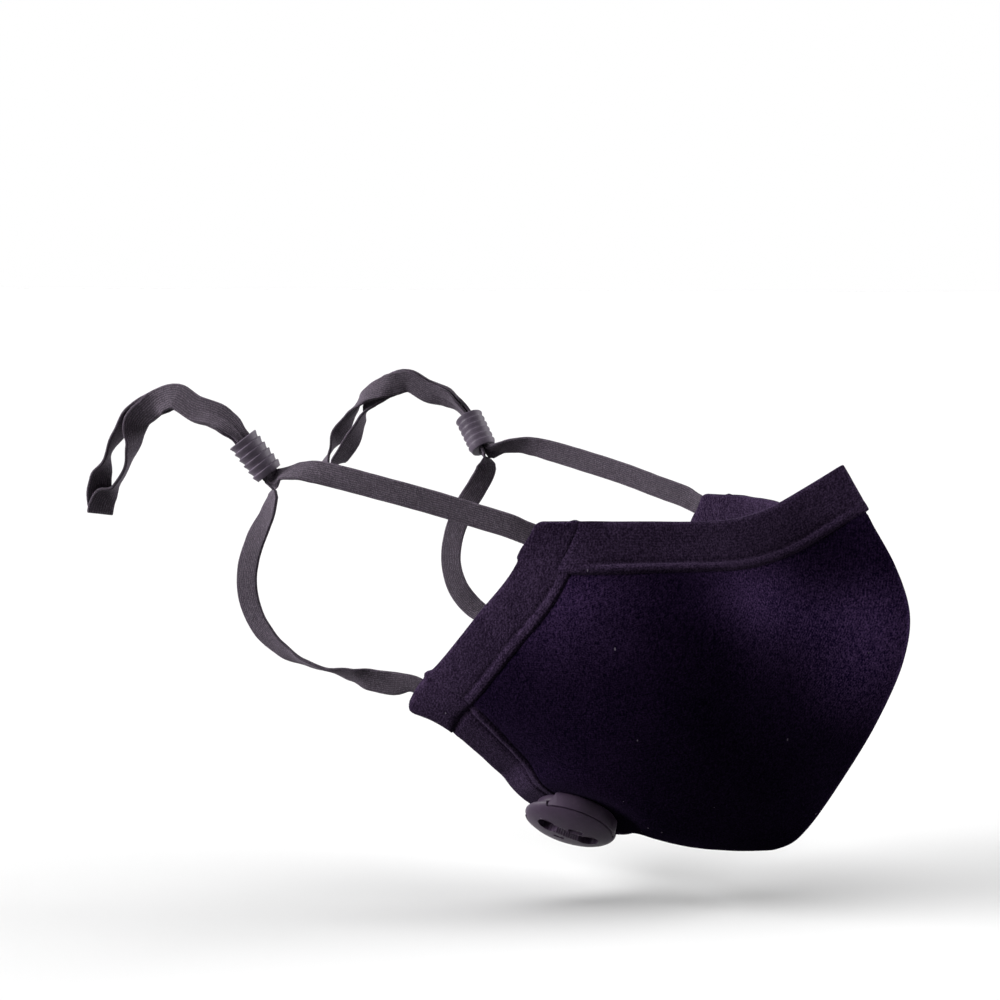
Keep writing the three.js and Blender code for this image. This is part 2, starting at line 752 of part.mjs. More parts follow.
// Hole through the cloth for the valve's neck.
const clothHole = turned([
  { r: 0, z: -6 },
  { r: neckRadius + gap, z: -6 },
  { r: neckRadius + gap, z: 6 },
  { r: 0, z: 6 },
], 32).applyMatrix4(valveFrame);

function panel(sign) {
  const side = (v) => Math.abs(fromSide(sign, v, inset));
  return clothWall(fractions(panelColumns), fractions(panelRows), (a, b) => {
    const { u, v } = settle(
      (vv) => sign * Math.max(a * side(vv), 1e-6),
      (uu) => THREE.MathUtils.lerp(fromTop(uu, inset), fromHem(uu, hemInset), b),
      sign * a * 0.8,
      b,
    );
    const shiftX = a === 0 ? (-sign * gap) / 2 : 0;
    return { u, v, rise: panelHalfWall, depth: panelHalfWall, shiftX };
  });
}

function topBand() {
  const half = (sign) => {
    const casing = settle((v) => fromSide(sign, v, inset), (u) => fromTop(u, inset), sign, 0).u;
    return [...fractions(panelColumns, 0, casing), ...fractions(endColumns, casing, sign).slice(1)];
  };
  const columns = [...half(-1).slice(1).reverse(), ...half(1)];
  return clothWall(columns, bandSection, (u, row) => ({
    u, v: fromTop(u, row.across), rise: row.outer, depth: row.inner,
  }));
}

function bottomBand() {
  return clothWall(fractions(2 * panelColumns, -1, 1), bandSection, (share, row) => {
    const sign = share < 0 ? -1 : 1;
    const { u, v } = settle(
      (vv) => Math.abs(share) * fromSide(sign, vv, inset),
      (uu) => fromHem(uu, row.across * hemShare),
      share * 0.8,
      1,
    );
    return { u, v, rise: row.outer, depth: row.inner };
  });
}

function sideCasing(sign) {
  return clothWall(fractions(casingRows), bandSection, (share, row) => {
    const { u, v } = settle(
      (vv) => fromSide(sign, vv, row.across),
      (uu) => THREE.MathUtils.lerp(fromTop(uu, inset), fromHem(uu, hemInset), share),
      sign,
      0.5,
    );
    return { u, v, rise: row.outer, depth: row.inner };
  });
}

// Distances from the two edges of the lower corner, with the corner itself rounded.
function roundedCorner(a, b) {
  const r = cuffCornerRadius;
  const reach = Math.hypot(r - a, r - b);
  if (a >= r || b >= r || reach <= r) return { a, b };
  return { a: r - ((r - a) * r) / reach, b: r - ((r - b) * r) / reach };
}

function cornerCuff(sign) {
  return clothWall(cuffSection, cuffSection, (rowA, rowB) => {
    const corner = roundedCorner(rowA.across, rowB.across * hemShare);
    const { u, v } = settle(
      (vv) => fromSide(sign, vv, corner.a),
      (uu) => fromHem(uu, corner.b),
      sign,
      1,
    );
    return {
      u, v, rise: Math.min(rowA.outer, rowB.outer), depth: Math.min(rowA.inner, rowB.inner),
    };
  });
}

// Room for the elastic inside a band's end, a little deeper than the elastic goes.
function pocketTool(pocket, side) {
  const stations = pocketStations(pocket);
  const [before, end] = stations.slice(-2);
  const onward = end.point.clone().sub(before.point).setLength(gap);
  end.point = end.point.clone().add(onward);
  const tool = tapeGeometry(stations, tapeThickness + 2 * gap, 2 * gap);
  return side === 'left' ? mirrorGeometry(tool) : tool;
}

addPiece(mask, 'panel_right', cutAway(panel(1), clothHole), cloth);
addPiece(mask, 'panel_left', panel(-1), cloth);
const topPockets = ['right', 'left'].map((side) => pocketTool(upperPocket, side));
addPiece(mask, 'top_band', cutAway(topBand(), ...topPockets), bandCloth);
addPiece(mask, 'bottom_band', cutAway(bottomBand(), clothHole), bandCloth);
for (const [side, sign] of [['right', 1], ['left', -1]]) {
  addPiece(mask, `side_casing_${side}`, sideCasing(sign), bandCloth);
  const cuff = cutAway(cornerCuff(sign), pocketTool(lowerPocket, side));
  addPiece(mask, `corner_cuff_${side}`, cuff, bandCloth);
}

// ---------------------------------------------------------------- ear loops and sliders

const loopTape = tapeGeometry(loopStations, tapeThickness);
addPiece(mask, 'ear_loop_right', loopTape, elastic);
addPiece(mask, 'ear_loop_left', mirrorGeometry(loopTape), elastic);

function sliderBody() {
  const pitch = sliderLength / sliderRingCount;
  const rows = [{ r: 0, z: 0 }];
  for (let k = 0; k < sliderRingCount; k++) {
    rows.push({ r: sliderGrooveRadius, z: (k + 0.03) * pitch });
    rows.push({ r: sliderRadius, z: (k + 0.78) * pitch });
    rows.push({ r: sliderRadius, z: (k + 0.94) * pitch });
  }
  rows[1].z = 0;
  rows.at(-1).z = sliderLength;
  rows.push({ r: 0, z: sliderLength });
  const half = (sliderBoreWidth - sliderBoreHeight) / 2;
  const oblong = new THREE.Shape();
  oblong.absarc(half, 0, sliderBoreHeight / 2, -Math.PI / 2, Math.PI / 2, false);
  oblong.absarc(-half, 0, sliderBoreHeight / 2, Math.PI / 2, (3 * Math.PI) / 2, false);
  const bore = extruded(oblong, -1, sliderLength + 1, 6);
  const acrossTape = boreAxis.clone().cross(boreFace);
  return cutAway(turned(rows, 16), bore).applyMatrix4(frameAt(sliderLow, boreAxis, acrossTape));
}

const slider = sliderBody();
addPiece(mask, 'slider_right', slider, sliderRubber);
addPiece(mask, 'slider_left', mirrorGeometry(slider), sliderRubber);

// ---------------------------------------------------------------- exhalation valve

const halfTurn = 180;
const flangeBack = pressedHalfWall + gap;   // underside of the flange, just off the cloth
const lipTop = flangeTop + lipHeight;

// The same part of the valve twice, half a turn apart.
const twice = (make) => [make(0), make(halfTurn)];

function valveSeat() {
  const shell = turned([
    { r: neckBore, z: -neckDepth },
    { r: neckRadius, z: -neckDepth },
    { r: neckRadius, z: flangeBack },
    { r: flangeRadius, z: flangeBack },
    { r: flangeRadius, z: flangeTop },
    { r: neckRadius, z: flangeTop },
    { r: neckRadius - gap, z: lipTop },
    { r: neckBore, z: lipTop },
  ], 32);
  const lugs = twice((turn) => sector(
    flangeRadius - 0.2, capRadius - 0.2, lugArc.from + turn, lugArc.to + turn, flangeBack, lugTop,
  ));
  const barLength = neckBore + neckRadius;
  const bars = [0, 60, 120].map((degrees) => (
    new THREE.BoxGeometry(barLength, crossBar.width, crossBar.height)
      .translate(0, 0, crossBar.height / 2)
      .rotateZ(THREE.MathUtils.degToRad(degrees))));
  const stem = turned([
    { r: 0, z: 0 },
    { r: stemRadius, z: 0 },
    { r: stemRadius, z: stemTop },
    { r: 0, z: stemTop },
  ], 16);
  return joined(shell, ...lugs, ...bars, stem);
}

function valveFlap() {
  return turned([
    { r: stemRadius + gap, z: lipTop + gap },
    { r: flapRadius, z: lipTop + gap },
    { r: flapRadius, z: lipTop + gap + flapThickness },
    { r: stemRadius + gap, z: lipTop + gap + flapThickness },
  ], 32);
}

// Outer face of the cap from its middle to the back rim, and the inner face behind it.
const capSection = [
  { r: 0, z: capRise },
  { r: 4.5, z: capRise - 0.25 },
  { r: 8.5, z: capRise - 0.9 },
  { r: capRadius - 1.9, z: capRise - 1.9 },
  { r: capRadius - 0.5, z: capRise - 2.7 },
  { r: capRadius, z: capRise - 3.4 },
  { r: capRadius, z: capBackRim },
  { r: capRadius - capWall, z: capBackRim },
  { r: capRadius - capWall, z: outletEdge - 0.2 },
  { r: capRadius - 3.1, z: outletEdge - 0.2 },
  { r: 8.2, z: capRise - 2.0 },
  { r: 0, z: capRise - 1.3 },
];

function valveCap() {
  const above = capRise + 1;
  const windows = twice((turn) => sector(
    capRadius - 2 * capWall + 0.6, capRadius + 1, outletArc.from + turn, outletArc.to + turn,
    capBackRim - 1, outletEdge,
  ));
  const skirtWall = turned([
    { r: skirt.inner, z: flangeTop + gap },
    { r: skirt.outer, z: flangeTop + gap },
    { r: skirt.outer, z: capRise - 2.2 },
    { r: skirt.inner, z: capRise - 2.0 },
  ], 28);
  const skirtOutlets = twice((turn) => sector(
    skirt.inner - 0.6, skirt.outer + 0.5, outletArc.from + 8 + turn, outletArc.to - 8 + turn,
    flangeTop, skirt.outletEdge,
  ));
  const lobes = [1, -1].map((sign) => {
    const outline = new THREE.Shape();
    outline.absellipse(
      -lobe.x * sign, lobe.y * sign, lobe.halfWidth, lobe.halfHeight, 0, 2 * Math.PI, false,
    );
    return extruded(outline, capBackRim, above, 8);
  });
  const slots = [1, -1].map((sign) => (
    new THREE.BoxGeometry(slot.width, slot.height, above - capBackRim)
      .translate(slot.x * sign, slot.y * sign, (above + capBackRim) / 2)));
  const shell = cutAway(turned(capSection, 36), ...windows);
  const legs = cutAway(skirtWall, ...skirtOutlets);
  return cutAway(joined(shell, legs), ...lobes, ...slots);
}

function retainingRing() {
  const top = -pressedHalfWall - gap;
  return turned([
    { r: neckRadius + gap, z: top },
    { r: ringRadius, z: top },
    { r: ringRadius, z: top - ringThickness + ringBevel },
    { r: ringRadius - ringBevel, z: top - ringThickness },
    { r: neckRadius + gap, z: top - ringThickness },
  ], 28);
}

const valve = new THREE.Group();
valve.applyMatrix4(valveFrame);
addPiece(valve, 'valve_seat', valveSeat(), valvePlastic);
addPiece(valve, 'valve_flap', valveFlap(), flapSilicone);
addPiece(valve, 'valve_cap', valveCap(), valvePlastic);
addPiece(valve, 'valve_ring', retainingRing(), valvePlastic);
mask.add(valve);

export default mask;
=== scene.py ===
"""Valved respirator mask: the cloth, elastic, sliders and valve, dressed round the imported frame.

Tables and lengths are in millimetres and become metres when a mesh is made. +Z is up, the wearer
looks along -Y and the wearer's right is -X. The cloth is one curved sheet for each half, filled
in between the seam, the top edge, the side edge and the hem, as in the frame's own source.
"""

import math

import bmesh
import bpy
import numpy as np
from mathutils import Matrix, Vector


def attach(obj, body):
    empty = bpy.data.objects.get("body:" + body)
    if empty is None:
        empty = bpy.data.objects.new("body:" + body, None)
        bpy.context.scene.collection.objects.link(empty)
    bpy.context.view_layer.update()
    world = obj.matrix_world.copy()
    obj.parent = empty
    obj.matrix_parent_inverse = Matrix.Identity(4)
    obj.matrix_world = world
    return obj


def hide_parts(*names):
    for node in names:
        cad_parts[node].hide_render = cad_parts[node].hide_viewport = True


MM = 0.001
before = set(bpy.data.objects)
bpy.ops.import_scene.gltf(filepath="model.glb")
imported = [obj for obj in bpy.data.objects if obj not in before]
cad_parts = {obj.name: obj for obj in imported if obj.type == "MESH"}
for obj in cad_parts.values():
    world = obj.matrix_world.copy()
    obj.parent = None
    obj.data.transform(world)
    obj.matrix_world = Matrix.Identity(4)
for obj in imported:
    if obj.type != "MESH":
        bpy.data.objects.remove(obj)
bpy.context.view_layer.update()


# ------------------------------------------------------------------ camera, floor and light

CAMERA_PLACE = (-947.7, -389.9, 116.9)
CAMERA_TARGET = (-43.6, 31.6, 47.1)
CAMERA_LENS = 122.4
FLOOR_HEIGHT = -74
# Each light: the way to it from the object, its strength, and its spread in degrees.
LIGHTS = {
    "back_light": ((-0.52, 0.8, 0.18), 6.6, 45),
    "far_light": ((0.57, -0.72, 0.41), 2.4, 45),
    "top_light": ((-0.12, -0.06, 1.0), 1.5, 60),
}
# As seen, and as it lights the scene.
WORLD_STRENGTHS = (1.0, 0.07)
FLOOR_TONES = (0.82, 0.12)


def point_at(item, place, target):
    """Puts an item at `place` and turns its -Z towards `target`."""
    item.location = Vector(place) * MM
    away = (Vector(target) - Vector(place)).normalized()
    item.rotation_euler = away.to_track_quat("-Z", "Y").to_euler()


def make_camera():
    data = bpy.data.cameras.new("camera")
    data.lens = CAMERA_LENS
    data.sensor_width = 36
    data.clip_end = 50
    camera = bpy.data.objects.new("camera", data)
    bpy.context.scene.collection.objects.link(camera)
    point_at(camera, CAMERA_PLACE, CAMERA_TARGET)
    bpy.context.scene.camera = camera


def soft_sun(name, towards, strength, spread):
    """A wide soft light; `towards` points from the object to the light."""
    data = bpy.data.lights.new(name, "SUN")
    data.energy = strength
    data.angle = math.radians(spread)
    item = bpy.data.objects.new(name, data)
    bpy.context.scene.collection.objects.link(item)
    item.rotation_euler = Vector(towards).to_track_quat("Z", "Y").to_euler()


def seen_or_lighting(wire, shader_seen, shader_lighting):
    """The first shader for the camera and for gloss, the second one for soft light."""
    path = wire.tree.nodes.new("ShaderNodeLightPath")
    either = wire.math("MAXIMUM", path.outputs["Is Camera Ray"], path.outputs["Is Glossy Ray"])
    mix = wire.tree.nodes.new("ShaderNodeMixShader")
    wire.put(mix.inputs["Fac"], either)
    wire.tree.links.new(shader_lighting, mix.inputs[1])
    wire.tree.links.new(shader_seen, mix.inputs[2])
    return mix.outputs["Shader"]


def two_way_shader(tree, kind, out_kind, settings):
    """Two shaders of one kind: the first is what is seen, the second is what lights."""
    tree.nodes.clear()
    shaders = []
    for values in settings:
        node = tree.nodes.new(kind)
        set_inputs(node, **values)
        shaders.append(node.outputs[0])
    out = tree.nodes.new(out_kind)
    tree.links.new(seen_or_lighting(Wiring(tree), *shaders), out.inputs["Surface"])


def make_world():
    """White where it is seen or mirrored, and a dim even light for the rest."""
    world = bpy.data.worlds.new("studio")
    bpy.context.scene.world = world
    world.use_nodes = True
    two_way_shader(
        world.node_tree, "ShaderNodeBackground", "ShaderNodeOutputWorld",
        [{"Color": (1, 1, 1, 1), "Strength": strength} for strength in WORLD_STRENGTHS])


def make_floor():
    bpy.ops.mesh.primitive_plane_add(size=40, location=(0, 0, FLOOR_HEIGHT * MM))
    floor = bpy.context.active_object
    floor.name = "floor"
    material = bpy.data.materials.new("pale_floor")
    material.use_nodes = True
    two_way_shader(
        material.node_tree, "ShaderNodeBsdfDiffuse", "ShaderNodeOutputMaterial",
        [{"Color": (tone, tone, tone, 1)} for tone in FLOOR_TONES])
    floor.data.materials.append(material)


def make_stage():
    make_floor()
    make_world()
    for name, (towards, strength, spread) in LIGHTS.items():
        soft_sun(name, towards, strength, spread)
    bpy.context.scene.view_settings.view_transform = "Standard"


make_camera()


# ------------------------------------------------------------------ curves

def spline_segment(p0, p1, p2, p3, share):
    """Centripetal Catmull-Rom between p1 and p2, at shares from 0 to 1."""
    d0, d1, d2 = (max(np.linalg.norm(b - a), 1e-6) ** 0.5
                  for a, b in ((p0, p1), (p1, p2), (p2, p3)))
    t1 = ((p1 - p0) / d0 - (p2 - p0) / (d0 + d1) + (p2 - p1) / d1) * d1
    t2 = ((p2 - p1) / d1 - (p3 - p1) / (d1 + d2) + (p3 - p2) / d2) * d1
    s = np.asarray(share, float)[:, None]
    cubic = 2 * p1 - 2 * p2 + t1 + t2
    square = -3 * p1 + 3 * p2 - 2 * t1 - t2
    return p1 + t1 * s + square * s ** 2 + cubic * s ** 3


def spline(points, steps):
    """Points of a smooth curve through the given ones, `steps` to each stretch."""
    points = np.asarray(points, float)
    padded = np.vstack([2 * points[0] - points[1], points, 2 * points[-1] - points[-2]])
    shares = np.arange(steps) / steps
    runs = [spline_segment(*padded[k:k + 4], shares) for k in range(len(points) - 1)]
    return np.vstack(runs + [points[-1:]])


def lengths_along(points):
    """Distance from the first point to each one, along the line."""
    steps = np.linalg.norm(np.diff(points, axis=0), axis=1)
    return np.concatenate([[0], np.cumsum(steps)])


def evenly_spaced(points, count):
    """The same curve as `count` + 1 points, evenly spaced along it."""
    fine = spline(points, 60)
    along = lengths_along(fine)
    wanted = np.linspace(0, along[-1], count + 1)
    return np.column_stack([np.interp(wanted, along, fine[:, axis]) for axis in range(3)])


def unit(vectors):
    vectors = np.asarray(vectors, float)
    return vectors / np.maximum(np.linalg.norm(vectors, axis=-1, keepdims=True), 1e-12)


def smooth_step(t):
    """From 0 to 1 with level ends, and held there outside them."""
    t = np.clip(t, 0, 1)
    return t * t * (3 - 2 * t)


def rounded_edge(distance, reach, least=0.0):
    """Thickness near an edge that is rounded over `reach` millimetres, as a share."""
    return np.sqrt(np.clip(1 - (1 - np.clip(distance / reach, 0, 1)) ** 2, least, 1))


def central_steps(rows):
    """From the row before to the row after; at the two ends, from or to the row itself."""
    steps = np.empty_like(rows)
    steps[1:-1] = rows[2:] - rows[:-2]
    steps[0] = rows[1] - rows[0]
    steps[-1] = rows[-1] - rows[-2]
    return steps


# ------------------------------------------------------------------ driving dimensions

SIDES = ("right", "left")
BAND_WIDTH = 15.6
HEM_BAND_WIDTH = 14.4
# Round figures that turn shares of the way into the distances which shape the ends. The bands are
# really 88 to 100 mm from the seam to their ends, and the casings are 68 mm.
EDGE_BAND_LENGTH = 70
CASING_LENGTH = 80
PANEL_HALF_WALL = 1.0
PRESSED_HALF_WALL = 1.2
TUCK = 2.6                       # how far the panel's edge runs in between a band's two folds

# Centre-front seam, from the bridge of the nose to the throat: back (y) and up (z).
SEAM_PROFILE = [
    (-58.4, 57.0), (-62.9, 49.4), (-67.4, 41.8), (-75.5, 28.0), (-80.2, 14.0),
    (-78.6, 1.4), (-70.3, -17.4), (-59.3, -35.9), (-48.2, -51.6), (-43.4, -56.0),
    (-37.5, -57.9), (-29.0, -56.8), (-16.8, -53.2), (-6.0, -50.2), (4.0, -49.0),
]
# The other edges of the right-hand half: across (x), back (y), up (z).
TOP_EDGE = [
    (0, -58.4, 57.0), (-8, -49.5, 50.4), (-16, -42.4, 45.4), (-26, -35.2, 42.6),
    (-38, -27.2, 42.3), (-49, -18.0, 42.8), (-58, -6.0, 43.0), (-65, 10.2, 43.0),
]
SIDE_EDGE = [
    (-65.0, 10.2, 43.0), (-66.5, 16.8, 28.8), (-65.6, 27.6, 16.4),
    (-62.8, 41.6, 1.2), (-60.6, 49.9, -6.4), (-58.6, 55.6, -14.6),
]
HEM_EDGE = [
    (0, 4.0, -49.0), (-9, 10.6, -50.0), (-18, 17.4, -49.8), (-27, 23.6, -46.2),
    (-35.5, 28.0, -39.8), (-42.4, 31.8, -33.9), (-48.6, 36.8, -26.8),
    (-53.4, 41.6, -21.3), (-56.6, 47.0, -17.4), (-58.6, 55.6, -14.6),
]
# How far the panel swells: share of the way down, then near the seam, middle, near the side.
FULLNESS = [
    (0.08, -1.6, 0.0, 1.0),
    (0.17, -2.8, 2.8, 3.0),
    (0.3, 1.0, 8.0, 5.0),
    (0.46, 6.6, 9.8, 5.4),
    (0.62, 5.8, 8.2, 4.4),
    (0.8, 1.0, 3.4, 2.4),
    (0.92, -0.8, 0.2, 1.0),
]
LANES = (0.2, 0.5, 0.75)         # how far from the seam those three are, as shares of the way

VALVE_CENTRE = np.array([-32.5, 12.2, -44.5])
VALVE_AXIS = unit([-0.573, 0.038, -0.818])
VALVE_FORWARD = np.array([0.384, -0.874, -0.299])
VALVE_FORWARD = unit(VALVE_FORWARD - VALVE_FORWARD.dot(VALVE_AXIS) * VALVE_AXIS)
NECK_RADIUS = 8.8
FLATTEN_RADIUS = 14.5            # the valve clamps the cloth flat as far out as this
RELEASE_RADIUS = 24


# ------------------------------------------------------------------ the cloth sheet

STEPS = 160
SHARES = np.linspace(0, 1, STEPS + 1)


def curve_values(pairs, at, scale=0.01):
    """A smooth curve as a function; the values are drawn small, so that it never turns back."""
    fine = spline([(a, b * scale, 0) for a, b in pairs], 40)
    return np.interp(at, fine[:, 0], fine[:, 1] / scale)


def swell_grid():
    """Fullness over the whole half: rows along u, columns down v."""
    lanes = [
        curve_values([(0, 0)] + [(row[0], row[lane]) for row in FULLNESS] + [(1, 0)], SHARES)
        for lane in (1, 2, 3)
    ]
    columns = [
        curve_values([(0, 0), *zip(LANES, values), (1, 0)], SHARES)
        for values in zip(*lanes)
    ]
    return np.column_stack(columns)


def grid_normals(grid):
    down = central_steps(grid.swapaxes(0, 1)).swapaxes(0, 1)
    return unit(np.cross(central_steps(grid), down))


def patch_grid():
    """Surface between the four edges, from those edges alone."""
    seam = evenly_spaced([(0, y, z) for y, z in SEAM_PROFILE], STEPS)
    top = evenly_spaced(TOP_EDGE, STEPS)
    side = evenly_spaced(SIDE_EDGE, STEPS)
    hem = evenly_spaced(HEM_EDGE, STEPS)
    u = SHARES[:, None, None]
    v = SHARES[None, :, None]
    ruled = (1 - u) * seam[None] + u * side[None] + (1 - v) * top[:, None] + v * hem[:, None]
    corners = ((1 - u) * (1 - v) * top[0] + u * (1 - v) * top[-1]
               + (1 - u) * v * hem[0] + u * v * hem[-1])
    return ruled - corners


def clamp_share(points):
    """1 where the valve clamps the cloth flat and 0 where it is free; and height at the valve."""
    from_valve = points - VALVE_CENTRE
    height = from_valve @ VALVE_AXIS
    radius = np.sqrt(np.maximum((from_valve ** 2).sum(-1) - height ** 2, 0))
    share = 1 - smooth_step((radius - FLATTEN_RADIUS) / (RELEASE_RADIUS - FLATTEN_RADIUS))
    return share, height


def distance_grid(grid, line):
    """Distance of every grid point from a line of points."""
    best = np.full(grid.shape[:2], np.inf)
    for a, b in zip(line[:-1], line[1:]):
        step = b - a
        share = np.clip(((grid - a) @ step) / (step @ step), 0, 1)
        gap = np.linalg.norm(grid - a - share[..., None] * step, axis=-1)
        best = np.minimum(best, gap)
    return best


class Half:
    """One half of the cloth sheet: its points, normals and distances from its edges."""

    def __init__(self, sign):
        self.sign = sign
        patch = patch_grid()
        grid = patch + grid_normals(patch) * swell_grid()[..., None]
        if sign > 0:
            share, height = clamp_share(grid)
            grid = grid - (height * share)[..., None] * VALVE_AXIS
        normals = grid_normals(grid)
        normals[0, :, 0] = 0
        normals[0] /= (normals[0] ** 2).sum(-1, keepdims=True)
        self.from_top = distance_grid(grid, grid[:, 0])
        self.from_hem = distance_grid(grid, grid[:, -1])
        self.from_side = distance_grid(grid, grid[-1])
        if sign < 0:
            grid = grid * (-1, 1, 1)
            normals = normals * (-1, 1, 1)
        self.grid = grid
        self.normals = normals

    @staticmethod
    def blend(field, u, v):
        """Values of a grid field at arrays of u and v, both from 0 to 1."""
        u, v = np.broadcast_arrays(np.asarray(u, float), np.asarray(v, float))
        x = np.clip(u, 0, 1) * STEPS
        y = np.clip(v, 0, 1) * STEPS
        i = np.minimum(x.astype(int), STEPS - 1)
        j = np.minimum(y.astype(int), STEPS - 1)
        more = (...,) + (None,) * (field.ndim - 2)
        fx = (x - i)[more]
        fy = (y - j)[more]
        upper = field[i, j] * (1 - fx) + field[i + 1, j] * fx
        lower = field[i, j + 1] * (1 - fx) + field[i + 1, j + 1] * fx
        return upper * (1 - fy) + lower * fy

    def at(self, u, v):
        """Points and normals at u and v."""
        return self.blend(self.grid, u, v), self.blend(self.normals, u, v)

    @staticmethod
    def contour(distances, mm, reach_share, from_end):
        """Share of the way along each row where the distance comes to `mm`."""
        reach = int(STEPS * reach_share)
        rows = distances[:, ::-1] if from_end else distances
        shares = np.array([np.interp(mm, row[:reach], SHARES[:reach]) for row in rows])
        return 1 - shares if from_end else shares

    def top_contour(self, mm):
        """v of the line `mm` below the top edge, at every u step."""
        return self.contour(self.from_top, mm, 0.6, False)

    def hem_contour(self, mm):
        """v of the line `mm` above the hem, at every u step."""
        return self.contour(self.from_hem, mm, 0.6, True)

    def side_contour(self, mm):
        """u of the line `mm` in from the side edge, at every v step."""
        return self.contour(self.from_side.T, mm, 0.7, True)

    def below_top(self, u, mm):
        return np.interp(u, SHARES, self.top_contour(mm))

    def above_hem(self, u, mm):
        return np.interp(u, SHARES, self.hem_contour(mm))

    def in_from_side(self, v, mm):
        return np.interp(v, SHARES, self.side_contour(mm))


HALVES = {"right": Half(1), "left": Half(-1)}


def settle(u_from, v_from, v, turns=7):
    """Both coordinates of a region depend on each other, so they are settled in turns.

    `v` is where it starts.
    """
    for _ in range(turns):
        u = u_from(v)
        v = v_from(u)
    return u, v


# ------------------------------------------------------------------ noise for cloth relief

class Ripple:
    """Smooth, repeatable unevenness: a few sine waves with seeded directions."""

    def __init__(self, seed, wavelength, waves=7):
        draw = np.random.default_rng(seed)
        direction = unit(draw.normal(size=(waves, 3)))
        self.waves = direction * (2 * math.pi / (wavelength * draw.uniform(0.7, 1.5, (waves, 1))))
        self.phase = draw.uniform(0, 2 * math.pi, waves)

    def __call__(self, points):
        return np.sin(points @ self.waves.T + self.phase).mean(-1)


SOFT_WAVE = Ripple(3, 26)
FINE_WAVE = Ripple(5, 5.5)
EDGE_WAVE = Ripple(8, 9)


# ------------------------------------------------------------------ meshes from grids

def mesh_piece(name, vertices, faces, uvs):
    """A piece from vertices in millimetres and faces; uvs gives each vertex a place in mm."""
    mesh = bpy.data.meshes.new(name)
    mesh.from_pydata((np.asarray(vertices) * MM).tolist(), [], faces)
    layer = mesh.uv_layers.new(name="weave")
    loops = np.empty(len(mesh.loops), int)
    mesh.loops.foreach_get("vertex_index", loops)
    layer.data.foreach_set("uv", (np.asarray(uvs)[loops] * MM).ravel())
    mesh.validate()
    piece = bpy.data.objects.new(name, mesh)
    bpy.context.scene.collection.objects.link(piece)
    mesh.shade_smooth()
    face_outwards(piece)
    return piece


def face_outwards(piece):
    work = bmesh.new()
    work.from_mesh(piece.data)
    bmesh.ops.recalc_face_normals(work, faces=work.faces[:])
    if work.calc_volume(signed=True) < 0:
        bmesh.ops.reverse_faces(work, faces=work.faces[:])
    work.to_mesh(piece.data)
    work.free()


def quad_faces(p, q, r, s):
    """Four-sided faces from four arrays of corner numbers."""
    return np.stack([p, q, r, s], axis=-1).reshape(-1, 4).tolist()


def two_skins(outer, inner, place):
    """A cloth's outer and inner skin: vertices, faces, places, and the corner numbers of both."""
    vertices = np.vstack([outer.reshape(-1, 3), inner.reshape(-1, 3)])
    front = np.arange(outer.shape[0] * outer.shape[1]).reshape(outer.shape[:2])
    back = front + front.size
    faces = (quad_faces(front[:-1, :-1], front[1:, :-1], front[1:, 1:], front[:-1, 1:])
             + quad_faces(back[:-1, :-1], back[:-1, 1:], back[1:, 1:], back[1:, :-1]))
    return vertices, faces, np.vstack([place.reshape(-1, 2)] * 2), front, back


def ring_loft(name, rings, uvs):
    """A closed bar: `rings` is stations x points round, closed at both ends with a fan."""
    stations, around = rings.shape[:2]
    index = np.arange(stations * around).reshape(stations, around)
    following = np.roll(index, -1, axis=1)
    faces = quad_faces(index[:-1], index[1:], following[1:], following[:-1])
    vertices = rings.reshape(-1, 3)
    places = uvs.reshape(-1, 2)
    for end, ring in ((0, index[0]), (-1, index[-1])):
        middle = len(vertices)
        vertices = np.vstack([vertices, rings[end].mean(0)])
        places = np.vstack([places, uvs[end].mean(0)])
        faces += [[middle, int(a), int(b)] for a, b in zip(ring, np.roll(ring, -1))]
    return mesh_piece(name, vertices, faces, places)


def finish_piece(piece, material, node):
    """The material, and what the piece is to the frame: its body and replaced node."""
    piece.data.materials.clear()
    piece.data.materials.append(material)
    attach(piece, "root")
    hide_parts(node)


# ------------------------------------------------------------------ node groups

def set_inputs(node, **values):
    """Plain values for a node's inputs; underscores stand for the spaces in their names."""
    for label, value in values.items():
        node.inputs[label.replace("_", " ")].default_value = value


def new_group(name, inputs, outputs):
    group = bpy.data.node_groups.new(name, "ShaderNodeTree")
    for label, kind, value in inputs:
        socket = group.interface.new_socket(label, in_out="INPUT", socket_type=kind)
        if value is not None:
            socket.default_value = value
    for label, kind in outputs:
        group.interface.new_socket(label, in_out="OUTPUT", socket_type=kind)
    return group, group.nodes.new("NodeGroupInput"), group.nodes.new("NodeGroupOutput")


